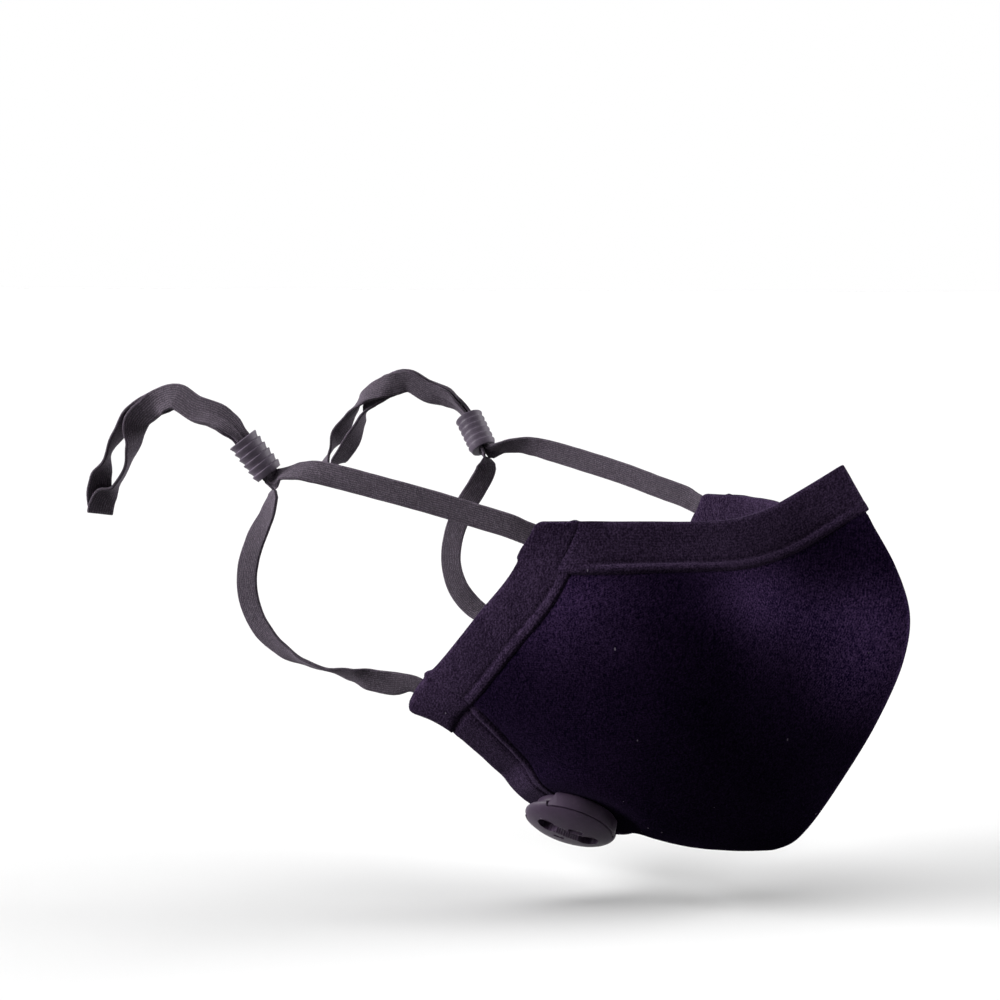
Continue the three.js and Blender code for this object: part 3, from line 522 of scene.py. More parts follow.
class Wiring:
    """Short calls for the nodes that the materials use."""

    def __init__(self, tree):
        self.tree = tree

    def put(self, socket, value):
        if isinstance(value, bpy.types.NodeSocket):
            self.tree.links.new(value, socket)
        else:
            socket.default_value = value

    def math(self, operation, a, b=0.0, clamp=False):
        node = self.tree.nodes.new("ShaderNodeMath")
        node.operation = operation
        node.use_clamp = clamp
        self.put(node.inputs[0], a)
        self.put(node.inputs[1], b)
        return node.outputs[0]

    def plus(self, a, b, clamp=False):
        return self.math("ADD", a, b, clamp)

    def minus(self, a, b):
        return self.math("SUBTRACT", a, b)

    def times(self, a, b, clamp=False):
        return self.math("MULTIPLY", a, b, clamp)

    def vector(self, operation, a, b=(0, 0, 0)):
        node = self.tree.nodes.new("ShaderNodeVectorMath")
        node.operation = operation
        self.put(node.inputs[0], a)
        self.put(node.inputs[1], b)
        return node.outputs["Value" if operation == "DISTANCE" else "Vector"]

    def noise(self, vector, scale, detail=2.0, roughness=0.5):
        node = self.tree.nodes.new("ShaderNodeTexNoise")
        self.put(node.inputs["Vector"], vector)
        self.put(node.inputs["Scale"], scale)
        set_inputs(node, Detail=detail, Roughness=roughness)
        return node.outputs["Fac"]

    def voronoi(self, vector, scale):
        node = self.tree.nodes.new("ShaderNodeTexVoronoi")
        self.put(node.inputs["Vector"], vector)
        self.put(node.inputs["Scale"], scale)
        return node

    def mapping(self, vector, rotation, scale=(1, 1, 1)):
        node = self.tree.nodes.new("ShaderNodeMapping")
        self.put(node.inputs["Vector"], vector)
        set_inputs(node, Rotation=rotation, Scale=scale)
        return node.outputs["Vector"]

    def mix(self, share, a, b, blend="MIX"):
        node = self.tree.nodes.new("ShaderNodeMix")
        node.data_type = "RGBA"
        node.blend_type = blend
        self.put(node.inputs["Factor"], share)
        self.put(node.inputs[6], a)
        self.put(node.inputs[7], b)
        return node.outputs[2]

    def separate(self, vector):
        node = self.tree.nodes.new("ShaderNodeSeparateXYZ")
        self.put(node.inputs[0], vector)
        return node.outputs

    def ramp(self, value, low, high):
        node = self.tree.nodes.new("ShaderNodeMapRange")
        node.interpolation_type = "SMOOTHSTEP"
        self.put(node.inputs["Value"], value)
        self.put(node.inputs["From Min"], low)
        self.put(node.inputs["From Max"], high)
        return node.outputs["Result"]

    def group(self, group, **values):
        node = self.tree.nodes.new("ShaderNodeGroup")
        node.node_tree = group
        for label, value in values.items():
            self.put(node.inputs[label.replace("_", " ")], value)
        return node.outputs

    def coordinates(self, kind):
        """Places along the weave for "UV", and in the object's own space otherwise."""
        if kind == "UV":
            node = self.tree.nodes.new("ShaderNodeUVMap")
            node.uv_map = "weave"
            return node.outputs["UV"]
        return self.tree.nodes.new("ShaderNodeTexCoord").outputs["Object"]

    def bump(self, height, distance, strength):
        node = self.tree.nodes.new("ShaderNodeBump")
        self.put(node.inputs["Height"], height)
        set_inputs(node, Strength=strength, Distance=distance)
        return node.outputs["Normal"]


def knit_group():
    """Knitted stitches along a piece: columns of small Vs, seen as height and as shade."""
    group, given, result = new_group(
        "knit_stitches",
        [("Vector", "NodeSocketVector", None),
         ("Column Width", "NodeSocketFloat", 0.0007),
         ("Row Height", "NodeSocketFloat", 0.0005)],
        [("Height", "NodeSocketFloat")],
    )
    wire = Wiring(group)
    wobble = wire.noise(given.outputs["Vector"], 420.0, 1.0)
    x, y, _ = wire.separate(given.outputs["Vector"])
    x = wire.plus(x, wire.times(wobble, 0.0006))
    column = wire.math("FRACT", wire.math("DIVIDE", x, given.outputs["Column Width"]))
    off_middle = wire.math("ABSOLUTE", wire.minus(column, 0.5))
    row = wire.math("DIVIDE", y, given.outputs["Row Height"])
    slanted = wire.plus(row, wire.times(off_middle, 1.4))
    stitch = wire.math("ABSOLUTE", wire.minus(wire.math("FRACT", slanted), 0.5))
    crown = wire.times(wire.minus(0.5, off_middle), 1.6, clamp=True)
    height = wire.times(crown, wire.minus(1.0, stitch))
    group.links.new(height, result.inputs["Height"])
    return group


PAINTED_HIGHLIGHT_GAIN = (6.6, 7.4, 5.8, 1)    # how many times paler the nap is painted where a painted highlight lies


def nap_group():
    """Brushed nap over a knit: fine fibre grain, soft clouds, the odd fleck of lint, and painted
    highlights where the nap is made paler.
    """
    group, given, result = new_group(
        "brushed_nap",
        [("Vector", "NodeSocketVector", None),
         ("Knit Height", "NodeSocketFloat", 0.5),
         ("Knit Share", "NodeSocketFloat", 0.4),
         ("Rubbed", "NodeSocketFloat", 0.0),
         ("Grain Scale", "NodeSocketFloat", 1900.0),
         ("Dark", "NodeSocketColor", (0.004, 0.002, 0.007, 1)),
         ("Light", "NodeSocketColor", (0.03, 0.02, 0.045, 1)),
         ("Lint", "NodeSocketColor", (0.17, 0.145, 0.19, 1)),
         ("Lint Share", "NodeSocketFloat", 0.8)],
        [("Color", "NodeSocketColor"), ("Height", "NodeSocketFloat")],
    )
    wire = Wiring(group)
    vector = given.outputs["Vector"]
    grain = wire.noise(vector, given.outputs["Grain Scale"], 3.0, 0.65)
    tufts = wire.noise(vector, 620.0, 2.0, 0.55)
    clouds = wire.noise(vector, 38.0, 2.0, 0.5)
    fibres = wire.noise(wire.mapping(vector, (0.5, 0.3, 0.8), (1, 1, 0.25)), 2300.0, 1.0)
    knit = given.outputs["Knit Height"]
    mixed = wire.plus(wire.times(grain, 0.8), wire.times(tufts, 0.1))
    mixed = wire.plus(mixed, wire.times(fibres, 0.25))
    knitted = wire.times(wire.minus(knit, 0.45), given.outputs["Knit Share"])
    relief = wire.plus(mixed, knitted)
    shade = wire.plus(relief, wire.times(wire.minus(clouds, 0.5), 0.14))
    tone = wire.ramp(shade, 0.4, 0.84)
    colour = wire.mix(tone, given.outputs["Dark"], given.outputs["Light"])
    # Painted highlight: the nap's colour is made several times paler where the highlight share is
    # given.
    pale = wire.mix(1.0, colour, PAINTED_HIGHLIGHT_GAIN, "MULTIPLY")
    colour = wire.mix(given.outputs["Rubbed"], colour, pale)
    specks = wire.voronoi(wire.mapping(vector, (0.4, 0.2, 0.9), (1, 1, 0.4)), 300.0)
    chosen = wire.separate(specks.outputs["Color"])[0]
    size = wire.times(wire.minus(chosen, given.outputs["Lint Share"]), 0.5)
    fleck = wire.math("LESS_THAN", specks.outputs["Distance"], size)
    strands = wire.voronoi(wire.mapping(vector, (0.7, 0.9, 0.4), (1, 1, 0.08)), 330.0)
    picked = wire.separate(strands.outputs["Color"])[1]
    slim = wire.times(wire.minus(picked, 0.955), 2.2)
    strand = wire.math("LESS_THAN", strands.outputs["Distance"], slim)
    lint = wire.math("MAXIMUM", fleck, strand)
    colour = wire.mix(lint, colour, given.outputs["Lint"])
    group.links.new(colour, result.inputs["Color"])
    height = wire.plus(relief, wire.times(lint, 0.4))
    group.links.new(height, result.inputs["Height"])
    return group


def moulded_group():
    """Moulded surface: fine spark-erosion grain, faint flow clouds and handling marks."""
    group, given, result = new_group(
        "moulded_grain",
        [("Vector", "NodeSocketVector", None),
         ("Base", "NodeSocketColor", (0.03, 0.025, 0.035, 1)),
         ("Worn", "NodeSocketColor", (0.07, 0.06, 0.08, 1)),
         ("Grain Scale", "NodeSocketFloat", 2600.0),
         ("Roughness", "NodeSocketFloat", 0.45)],
        [("Color", "NodeSocketColor"), ("Roughness", "NodeSocketFloat"),
         ("Height", "NodeSocketFloat")],
    )
    wire = Wiring(group)
    vector = given.outputs["Vector"]
    grain = wire.noise(vector, given.outputs["Grain Scale"], 2.0, 0.6)
    clouds = wire.noise(vector, 160.0, 3.0, 0.55)
    dust = wire.noise(vector, 700.0, 4.0, 0.7)
    patch = wire.ramp(clouds, 0.35, 0.75)
    dusty = wire.times(wire.ramp(dust, 0.5, 0.8), 0.5)
    share = wire.plus(wire.times(patch, 0.45), dusty, clamp=True)
    colour = wire.mix(share, given.outputs["Base"], given.outputs["Worn"])
    rough = wire.plus(
        given.outputs["Roughness"], wire.times(wire.minus(clouds, 0.5), 0.35), clamp=True)
    group.links.new(colour, result.inputs["Color"])
    group.links.new(rough, result.inputs["Roughness"])
    group.links.new(grain, result.inputs["Height"])
    return group


make_stage()
KNIT = knit_group()
NAP = nap_group()
MOULDED = moulded_group()


# ------------------------------------------------------------------ materials

def new_material(name):
    material = bpy.data.materials.new(name)
    material.use_nodes = True
    return material, Wiring(material.node_tree), material.node_tree.nodes["Principled BSDF"]


# Painted highlights on the panels, where the nap is made paler: place on the wearer's right, reach
# and share.
PAINTED_HIGHLIGHT_SPOTS = [((25, -46, 19), 29, 0.44), ((7, -71, 3), 30, 1.0), ((67, 0, 24), 34, 0.36)]


def painted_highlight_share(wire):
    """Share of painted highlight, as paler nap, at each place, the same on both halves."""
    place = wire.coordinates("Object")
    mirrored = wire.vector("ABSOLUTE", place)
    x = wire.separate(mirrored)[0]
    parts = wire.separate(place)
    joined = wire.tree.nodes.new("ShaderNodeCombineXYZ")
    for socket, value in zip(joined.inputs, (x, parts[1], parts[2])):
        wire.put(socket, value)
    total = 0.0
    for spot, reach, share in PAINTED_HIGHLIGHT_SPOTS:
        away = wire.vector("DISTANCE", joined.outputs[0], Vector(spot) * MM)
        near = wire.ramp(wire.math("DIVIDE", away, reach * MM), 1.0, 0.0)
        total = wire.plus(total, wire.times(near, share), clamp=True)
    return total


def cloth_material(name, dark, light, turn, column, row, knit_share, sheen, sheen_tint,
                   painted_highlight=False):
    """Brushed cloth; `turn` lays the knit, `column` and `row` are the size of a stitch, and the
    last flag adds painted highlights.
    """
    material, wire, shader = new_material(name)
    places = wire.mapping(wire.coordinates("UV"), (0, 0, turn))
    knit = wire.group(KNIT, Vector=places, Column_Width=column, Row_Height=row)
    # The panels get painted highlights, as paler nap at set spots; other cloth gets none.
    nap = wire.group(
        NAP, Vector=wire.coordinates("Object"), Knit_Height=knit["Height"],
        Knit_Share=knit_share, Dark=dark, Light=light,
        Rubbed=painted_highlight_share(wire) if painted_highlight else 0.0)
    wire.put(shader.inputs["Base Color"], nap["Color"])
    wire.put(shader.inputs["Normal"], wire.bump(nap["Height"], 0.00045, 0.9))
    set_inputs(
        shader, Roughness=0.95, Specular_IOR_Level=0.0, Sheen_Weight=sheen,
        Sheen_Roughness=0.55, Sheen_Tint=sheen_tint)
    return material


def elastic_material():
    """Flat knitted elastic: lengthwise ribs crossed by fine slanted floats."""
    material, wire, shader = new_material("knitted_elastic")
    places = wire.coordinates("UV")
    knit = wire.group(KNIT, Vector=places, Column_Width=0.00062, Row_Height=0.00055)
    nap = wire.group(
        NAP, Vector=wire.coordinates("Object"), Knit_Height=knit["Height"], Knit_Share=0.38,
        Grain_Scale=2600.0, Dark=(0.036, 0.028, 0.039, 1), Light=(0.15, 0.121, 0.157, 1),
        Lint_Share=0.97)
    wire.put(shader.inputs["Base Color"], nap["Color"])
    wire.put(shader.inputs["Normal"], wire.bump(nap["Height"], 0.00025, 0.9))
    set_inputs(
        shader, Roughness=0.8, Subsurface_Weight=0.6, Subsurface_Radius=(1.0, 0.85, 1.0),
        Subsurface_Scale=0.0014, Specular_IOR_Level=0.15, Sheen_Weight=0.12,
        Sheen_Roughness=0.5, Sheen_Tint=(0.8, 0.7, 0.85, 1))
    return material


def moulded_material(name, base, worn, roughness, grain_scale, bump, gloss):
    """Moulded rubber or plastic, paler where it is worn."""
    material, wire, shader = new_material(name)
    surface = wire.group(
        MOULDED, Vector=wire.coordinates("Object"), Base=base, Worn=worn,
        Grain_Scale=grain_scale, Roughness=roughness)
    wire.put(shader.inputs["Base Color"], surface["Color"])
    wire.put(shader.inputs["Roughness"], surface["Roughness"])
    wire.put(shader.inputs["Normal"], wire.bump(surface["Height"], bump, 0.6))
    set_inputs(shader, Specular_IOR_Level=gloss)
    return material


# The panel cloth carries painted highlights at three spots on each half.
PANEL_CLOTH = cloth_material(
    "brushed_panel_knit", (0.0006, 0.0001, 0.004, 1), (0.0235, 0.0115, 0.0385, 1),
    math.radians(38), 0.0008, 0.0006, 0.1, 0.03, (0.5, 0.38, 0.72, 1), painted_highlight=True)
BAND_CLOTH = cloth_material(
    "band_knit", (0.007, 0.003, 0.012, 1), (0.064, 0.04, 0.084, 1),
    0, 0.0008, 0.00055, 0.08, 0.07, (0.6, 0.5, 0.74, 1))
ELASTIC = elastic_material()
SLIDER_RUBBER = moulded_material(
    "slider_rubber", (0.065, 0.05, 0.074, 1), (0.15, 0.12, 0.163, 1), 0.5, 1800.0, 0.00006, 0.25)
VALVE_PLASTIC = moulded_material(
    "valve_plastic", (0.033, 0.0195, 0.0395, 1), (0.065, 0.0405, 0.074, 1), 0.5, 3200.0,
    0.00004, 0.2)
VALVE_SILICONE = moulded_material(
    "valve_silicone", (0.02, 0.015, 0.024, 1), (0.035, 0.028, 0.042, 1), 0.6, 1200.0, 0.00002, 0.3)


# ------------------------------------------------------------------ ear loops

TAPE_WIDTH = 7
SLACK_WIDTH = 7.8
SQUEEZED_WIDTH = 5.0
TAPE_THICKNESS = 1
STRAND_SPACING = 0.8
SLIDER_LENGTH = 12.9
SLIDER_LOW = np.array([-73.7, 92.2, 54.9])
SLIDER_HIGH = np.array([-77.0, 99.3, 65.0])
SLIDER_TURN = 55
BORE_LEAD = 1.6
POCKET_LEAD = 2
POCKET_DEPTH = 7

# Out from the midplane, back, up, and the angle of the tape's face to the side of the head.
UPPER_STRAND = [
    (67.2, 17.4, 41.5, 0), (69.0, 27.7, 44.4, 0), (71.6, 40.8, 48.1, 0), (73.6, 53.8, 51.3, 0),
    (75.3, 68.1, 54.6, 8), (75.8, 75.5, 56.0, 25), (75.4, 81.4, 56.2, 48), (74.4, 86.6, 55.3, 62),
]
LOWER_STRAND = [
    (73.3, 91.2, 48.5, 42), (72.3, 93.9, 42.5, 28), (71.2, 98.7, 34.4, 12),
    (70.2, 101.8, 25.4, 4), (68.8, 102.0, 16.8, 4), (67.6, 98.8, 8.8, 14),
    (66.6, 92.6, 2.6, 36), (65.8, 84.6, -1.2, 66), (65.0, 77.4, -3.2, 76),
    (64.0, 70.6, -4.4, 52), (62.6, 64.3, -5.8, 12), (61.2, 57.8, -6.6, 0),
]
# The tail's two strands: out, back, up, half of the distance between them, the angle from
# strand to strand, and the extra turn of the strand that goes out and the one that comes back.
TAIL_PATH = [
    (77.8, 103.6, 69.4, 0.8, 58, 0, 0),
    (77.6, 108.0, 71.9, 0.8, 38, 0, 0),
    (77.2, 114.8, 73.7, 0.8, 20, 0, 0),
    (76.7, 121.7, 77.1, 0.8, 24, 0, 0),
    (76.3, 126.8, 76.0, 0.9, 12, 0, 0),
    (75.8, 131.4, 73.9, 1.1, -28, 0, 0),
    (75.3, 136.5, 70.7, 1.6, -50, 10, 0),
    (74.5, 140.3, 64.5, 2.6, -104, 16, 16),
    (73.8, 144.1, 57.5, 3.3, -111, 0, 0),
    (73.0, 147.7, 51.5, 2.7, -106, 0, 36),
    (72.5, 150.4, 46.7, 1.3, -75, 22, 30),
    (72.2, 151.1, 42.7, 1.1, -30, 0, 0),
]


def face_direction(along, turn):
    """Which way the tape's face looks: away from the head, turned round the tape's line."""
    flat = np.array([-1.0, 0, 0])
    flat = unit(flat - flat.dot(along) * along)
    lift = unit(np.cross(along, flat))
    angle = math.radians(turn)
    return flat * math.cos(angle) + lift * math.sin(angle)


def route_direction(points, k):
    return unit(points[min(k + 1, len(points) - 1)] - points[max(k - 1, 0)])


def loop_points(rows):
    return [np.array([-row[0], row[1], row[2]]) for row in rows]


def strand_stations(rows):
    """Stations of the tape; each is a place, the way of its face, its width and its crease."""
    points = loop_points(rows)
    return [(points[k], face_direction(route_direction(points, k), row[3]), TAPE_WIDTH, 0)
            for k, row in enumerate(rows)]


def tail_stations():
    middle = loop_points(TAIL_PATH)
    going = []
    coming = []
    for k, (_, _, _, spread, turn, roll_going, roll_coming) in enumerate(TAIL_PATH):
        along = route_direction(middle, k)
        apart = face_direction(along, turn)
        crease = max(0, 1 - k / 3)
        going.append((middle[k] + apart * spread, face_direction(along, turn + roll_going),
                      SLACK_WIDTH, crease))
        coming.insert(0, (middle[k] - apart * spread, -face_direction(along, turn + roll_coming),
                          SLACK_WIDTH, crease))
    along = route_direction(middle, len(middle) - 1)
    apart = face_direction(along, TAIL_PATH[-1][4])
    turn_round = []
    for degrees in (45, 90, 135):
        angle = math.radians(degrees)
        outward = apart * math.cos(angle) + along * math.sin(angle)
        turn_round.append((middle[-1] + outward * TAIL_PATH[-1][3], outward, SLACK_WIDTH, 0))
    return going + turn_round + coming


BORE_AXIS = unit(SLIDER_HIGH - SLIDER_LOW)
BORE_FACE = face_direction(BORE_AXIS, SLIDER_TURN)


def bore_stations(sign):
    heights = [-BORE_LEAD, 0, SLIDER_LENGTH, SLIDER_LENGTH + BORE_LEAD]
    if sign < 0:
        heights.reverse()
    return [(SLIDER_LOW + BORE_AXIS * height + BORE_FACE * sign * STRAND_SPACING,
             BORE_FACE * sign, SQUEEZED_WIDTH, 1) for height in heights]


# Where the elastic runs into a band's end: row of the sheet, distance from the band's free
# edge, change of that distance with depth, and the width that it is gathered to.
UPPER_POCKET = (0.05, 4.2, 0.2, 6.6, "below_top")
LOWER_POCKET = (0.86, 9.0, -0.1, 5.4, "above_hem")


def pocket_stations(pocket):
    v, height, slope, width, edge_call = pocket
    half = HALVES["right"]

    def spot(depth):
        u = float(half.in_from_side(v, depth))
        return half.at(u, float(getattr(half, edge_call)(u, height + slope * depth)))

    edge, normal = spot(0)
    inside, _ = spot(POCKET_LEAD)
    stations = [(2 * edge - inside, normal, width, 0.3)]
    for depth in (POCKET_DEPTH / 2, POCKET_DEPTH):
        stations.append((*spot(depth), width, 0.3))
    return stations


def tape_section():
    """Half-width and thickness of the tape's outline, each from -1 to 1, with round edges."""
    across = np.linspace(-0.9, 0.9, 15)
    upper = [(a, 1.0) for a in across]
    nose = [(0.965, 0.78), (1.0, 0.3), (1.0, -0.3), (0.965, -0.78)]
    lower = [(a, -1.0) for a in across[::-1]]
    other = [(-a, -b) for a, b in nose]
    return np.array(upper + nose + lower + other)


TAPE_STEP = 1.1
CREASE_DEPTH = 0.32


def make_ear_loops(material):
    """The tape through all its stations, and its mirror image."""
    stations = (pocket_stations(UPPER_POCKET)[::-1] + strand_stations(UPPER_STRAND)
                + bore_stations(1) + tail_stations() + bore_stations(-1)
                + strand_stations(LOWER_STRAND) + pocket_stations(LOWER_POCKET))
    points = np.array([s[0] for s in stations])
    gaps = np.linalg.norm(np.diff(points, axis=0), axis=1)
    marks = np.concatenate([
        k + np.arange(max(2, int(gap / TAPE_STEP))) / max(2, int(gap / TAPE_STEP))
        for k, gap in enumerate(gaps)] + [[len(gaps)]])
    steps = 64
    fine = spline(points, steps)
    centres = np.column_stack([
        np.interp(marks * steps, np.arange(len(fine)), fine[:, axis]) for axis in range(3)])
    alongs = unit(central_steps(centres))
    section = tape_section()
    runs = lengths_along(centres)
    rings = []
    for mark, centre, along in zip(marks, centres, alongs):
        k = min(int(mark), len(stations) - 2)
        share = float(smooth_step(mark - k))
        face, width, crease = (
            here * (1 - share) + there * share
            for here, there in zip(stations[k][1:], stations[k + 1][1:]))
        face = unit(face - face.dot(along) * along)
        across = np.cross(along, face)
        side = section[:, 0] * width / 2
        groove = CREASE_DEPTH * crease * np.exp(-(section[:, 0] / 0.16) ** 2)
        rise = section[:, 1] * (TAPE_THICKNESS / 2 - groove)
        rise = rise * (1 - 0.12 * crease * np.abs(section[:, 0]))
        rings.append(centre + side[:, None] * across + rise[:, None] * face)
    rings = np.array(rings)
    ripple = FINE_WAVE(rings)[..., None] * 0.06
    rings = rings + ripple * unit(rings - rings.mean(1, keepdims=True))
    uvs = np.empty(rings.shape[:2] + (2,))
    uvs[..., 0] = section[None, :, 0] * TAPE_WIDTH / 2
    uvs[..., 1] = runs[:, None]
    for side, sign in (("right", 1), ("left", -1)):
        piece = ring_loft(f"elastic_loop_{side}", rings * (sign, 1, 1), uvs)
        finish_piece(piece, material, f"ear_loop_{side}")


make_ear_loops(ELASTIC)


# ------------------------------------------------------------------ hand steps for moulded parts

MERGE_GAP = 1e-6                 # in metres
SMOOTH_BELOW = 28                # degrees between faces


def deselect():
    if bpy.context.mode != "OBJECT":
        bpy.ops.object.mode_set(mode="OBJECT")
    bpy.ops.object.select_all(action="DESELECT")


def choose(piece):
    """Leaves this piece alone selected and active, in object mode."""
    deselect()
    piece.select_set(True)
    bpy.context.view_layer.objects.active = piece


def cut_with(piece, tool, operation="DIFFERENCE"):
    """Applies a boolean and takes the tool away."""
    modifier = piece.modifiers.new("cut", "BOOLEAN")
    modifier.operation = operation
    modifier.solver = "EXACT"
    modifier.object = tool
    choose(piece)
    bpy.ops.object.modifier_apply(modifier=modifier.name)
    bpy.data.objects.remove(tool)


def frame_matrix(place, forward, axis):
    """Z runs along `axis` and X along `forward`."""
    columns = [Vector(forward), Vector(np.cross(axis, forward)), Vector(axis)]
    matrix = Matrix(columns).transposed().to_4x4()
    matrix.translation = Vector(place) * MM
    return matrix


def edit(piece):
    choose(piece)
    bpy.ops.object.mode_set(mode="EDIT")
    bpy.ops.mesh.select_all(action="SELECT")


def merge_doubles():
    bpy.ops.mesh.select_all(action="SELECT")
    bpy.ops.mesh.remove_doubles(threshold=MERGE_GAP)


def tidy(piece):
    """Merges doubled vertices and turns the faces outwards, from edit mode."""
    merge_doubles()
    bpy.ops.mesh.normals_make_consistent(inside=False)
    bpy.ops.object.mode_set(mode="OBJECT")
    return piece


def spun(name, section, steps=96, start=0, turn=360):
    """A line of (radius, height) points drawn one by one, then spun round the Z axis."""
    deselect()
    bpy.ops.mesh.primitive_plane_add(size=MM)
    piece = bpy.context.active_object
    piece.name = name
    edit(piece)
    bpy.ops.mesh.merge(type="CENTER")
    angle = math.radians(start)

    def shift(radius, height):
        return (radius * math.cos(angle) * MM, radius * math.sin(angle) * MM, height * MM)

    bpy.ops.transform.translate(value=shift(*section[0]))
    closed = section[0][0] > 0
    for (r0, z0), (r1, z1) in zip(section, section[1:] + section[:1] * closed):
        bpy.ops.mesh.extrude_region_move(
            TRANSFORM_OT_translate={"value": shift(r1 - r0, z1 - z0)})
    merge_doubles()
    bpy.ops.mesh.spin(steps=steps, angle=-math.radians(turn), center=(0, 0, 0), axis=(0, 0, 1))
    merge_doubles()
    if turn < 360:
        bpy.ops.mesh.fill_holes(sides=0)
    return tidy(piece)


def rod(radius, low, high, spot=(0, 0), sides=48):
    """An upright cylinder from one height to another."""
    deselect()
    bpy.ops.mesh.primitive_cylinder_add(
        vertices=sides, radius=radius * MM, depth=(high - low) * MM)
    piece = bpy.context.active_object
    piece.data.transform(Matrix.Translation(Vector((*spot, (low + high) / 2)) * MM))
    return piece


def block(width, height, low, high, spot):
    """An upright box; `width` runs along X and `height` along Y."""
    deselect()
    bpy.ops.mesh.primitive_cube_add(size=MM)
    piece = bpy.context.active_object
    piece.data.transform(Matrix.Diagonal((width, height, high - low, 1)))
    piece.data.transform(Matrix.Translation(Vector((*spot, (low + high) / 2)) * MM))
    return piece


def shift_part(piece, chosen, move):
    """Moves the vertices that `chosen` accepts, in millimetres."""
    edit(piece)
    bpy.ops.mesh.select_all(action="DESELECT")
    bpy.ops.object.mode_set(mode="OBJECT")
    for vertex in piece.data.vertices:
        vertex.select = chosen(vertex.co / MM)
    bpy.ops.object.mode_set(mode="EDIT")
    bpy.ops.transform.translate(value=Vector(move) * MM)
    bpy.ops.object.mode_set(mode="OBJECT")


def bevelled(piece, width, degrees=32):
    """Rounds the edges that are sharper than `degrees`, and shades the rest smooth."""
    choose(piece)
    modifier = piece.modifiers.new("bevel", "BEVEL")
    modifier.width = width * MM
    modifier.segments = 2
    modifier.limit_method = "ANGLE"
    modifier.angle_limit = math.radians(degrees)
    modifier.use_clamp_overlap = True
    bpy.ops.object.modifier_apply(modifier=modifier.name)
    bpy.ops.object.shade_smooth_by_angle(angle=math.radians(SMOOTH_BELOW))
    return piece


def own_copy(piece, name, matrix):
    """A copy with a mesh of its own, moved by the matrix."""
    twin = bpy.data.objects.new(name, piece.data.copy())
    bpy.context.scene.collection.objects.link(twin)
    twin.data.transform(matrix)
    return twin


# ------------------------------------------------------------------ cloth panels

PRESSED_PANEL_WALL = 0.45        # half of the panel's thickness where it lies inside a band
SEAM_ROLL = 0.9                  # how far from the seam the cloth's edge begins to roll over
SEAM_MEETING = 0.03              # how far each half's seam edge is moved past the midplane


def panel_relief(half, points, u, v, from_edge):
    """Low folds of a worn panel, in millimetres outwards."""
    slack = smooth_step(from_edge / 14)
    relief = 0.28 * SOFT_WAVE(points) * slack
    # A drag line runs in from the cheek, about a fifth of the way down.
    drag = np.exp(-((v - 0.2 - 0.1 * u) / 0.05) ** 2) * smooth_step((u - 0.35) / 0.3)
    relief += 0.35 * drag * slack
    pucker = np.exp(-from_edge / 3.0) * EDGE_WAVE(points)
    relief += 0.22 * pucker
    return relief * (1 - clamp_share(points)[0] if half.sign > 0 else 1)


def make_panel(side):
    half = HALVES[side]
    columns, rows = 118, 122
    edge_gap = BAND_WIDTH - TUCK
    hem_gap = HEM_BAND_WIDTH - TUCK
    a = np.concatenate([[0, 0.004, 0.012, 0.022], np.linspace(0.035, 1, columns - 4)])[:, None]
    b = np.linspace(0, 1, rows)[None, :]
    u, v = settle(
        lambda vv: a * half.in_from_side(vv, edge_gap),
        lambda uu: (half.below_top(uu, edge_gap) * (1 - b) + half.above_hem(uu, hem_gap) * b),
        b + 0 * a)
    points, normals = half.at(u, v)
    edges = [(u, half.below_top(u, edge_gap)), (u, half.above_hem(u, hem_gap)),
             (half.in_from_side(v, edge_gap), v)]
    from_edge = np.min(
        [np.linalg.norm(points - half.at(*edge)[0], axis=-1) for edge in edges], axis=0)
    # The edge is pressed thin where it lies inside a band.
    pressed = smooth_step((from_edge - TUCK + 0.9) / 1.5)
    wall = PRESSED_PANEL_WALL + (PANEL_HALF_WALL - PRESSED_PANEL_WALL) * pressed
    # The seam edge rolls in towards the other half.
    from_seam = np.abs(points[..., 0])
    roll = rounded_edge(from_seam, SEAM_ROLL, 0.02)
    seam_gather = 0.12 * np.exp(-(from_seam / 2.2) ** 2)
    relief = panel_relief(half, points, u, v, np.maximum(from_edge - TUCK, 0)) * pressed
    outer = points + normals * (wall * roll + relief - seam_gather)[..., None]
    inner = points - normals * (wall * roll - 0.5 * relief)[..., None]
    # The seam edges go past the midplane, so no light comes through the seam.
    meeting = SEAM_MEETING * half.sign * (from_seam < 0.02)
    outer[..., 0] += meeting
    inner[..., 0] += meeting
    across = lengths_along(points[:, rows // 2])
    down = lengths_along(points[columns // 2])
    place = np.stack(np.broadcast_arrays(across[:, None], down[None, :]), axis=-1)
    vertices, faces, uvs, front, back = two_skins(outer, inner, place)
    faces += quad_faces(front[:-1, 0], back[:-1, 0], back[1:, 0], front[1:, 0])
    faces += quad_faces(front[:-1, -1], front[1:, -1], back[1:, -1], back[:-1, -1])
    faces += quad_faces(front[0, :-1], front[0, 1:], back[0, 1:], back[0, :-1])
    faces += quad_faces(front[-1, :-1], back[-1, :-1], back[-1, 1:], front[-1, 1:])
    return mesh_piece(f"cloth_panel_{side}", vertices, faces, uvs)


VALVE_MATRIX = frame_matrix(VALVE_CENTRE, VALVE_FORWARD, VALVE_AXIS)


def valve_hole_tool():
    """Tool for the hole in the cloth, 0.3 mm clear of the valve's neck."""
    tool = rod(NECK_RADIUS + 0.3, -7, 7, sides=64)
    tool.data.transform(VALVE_MATRIX)
    return tool


for side in SIDES:
    cloth = make_panel(side)
    if side == "right":
        cut_with(cloth, valve_hole_tool())
        cloth.data.shade_smooth()
    finish_piece(cloth, PANEL_CLOTH, f"panel_{side}")


# ------------------------------------------------------------------ bands, casings and cuffs

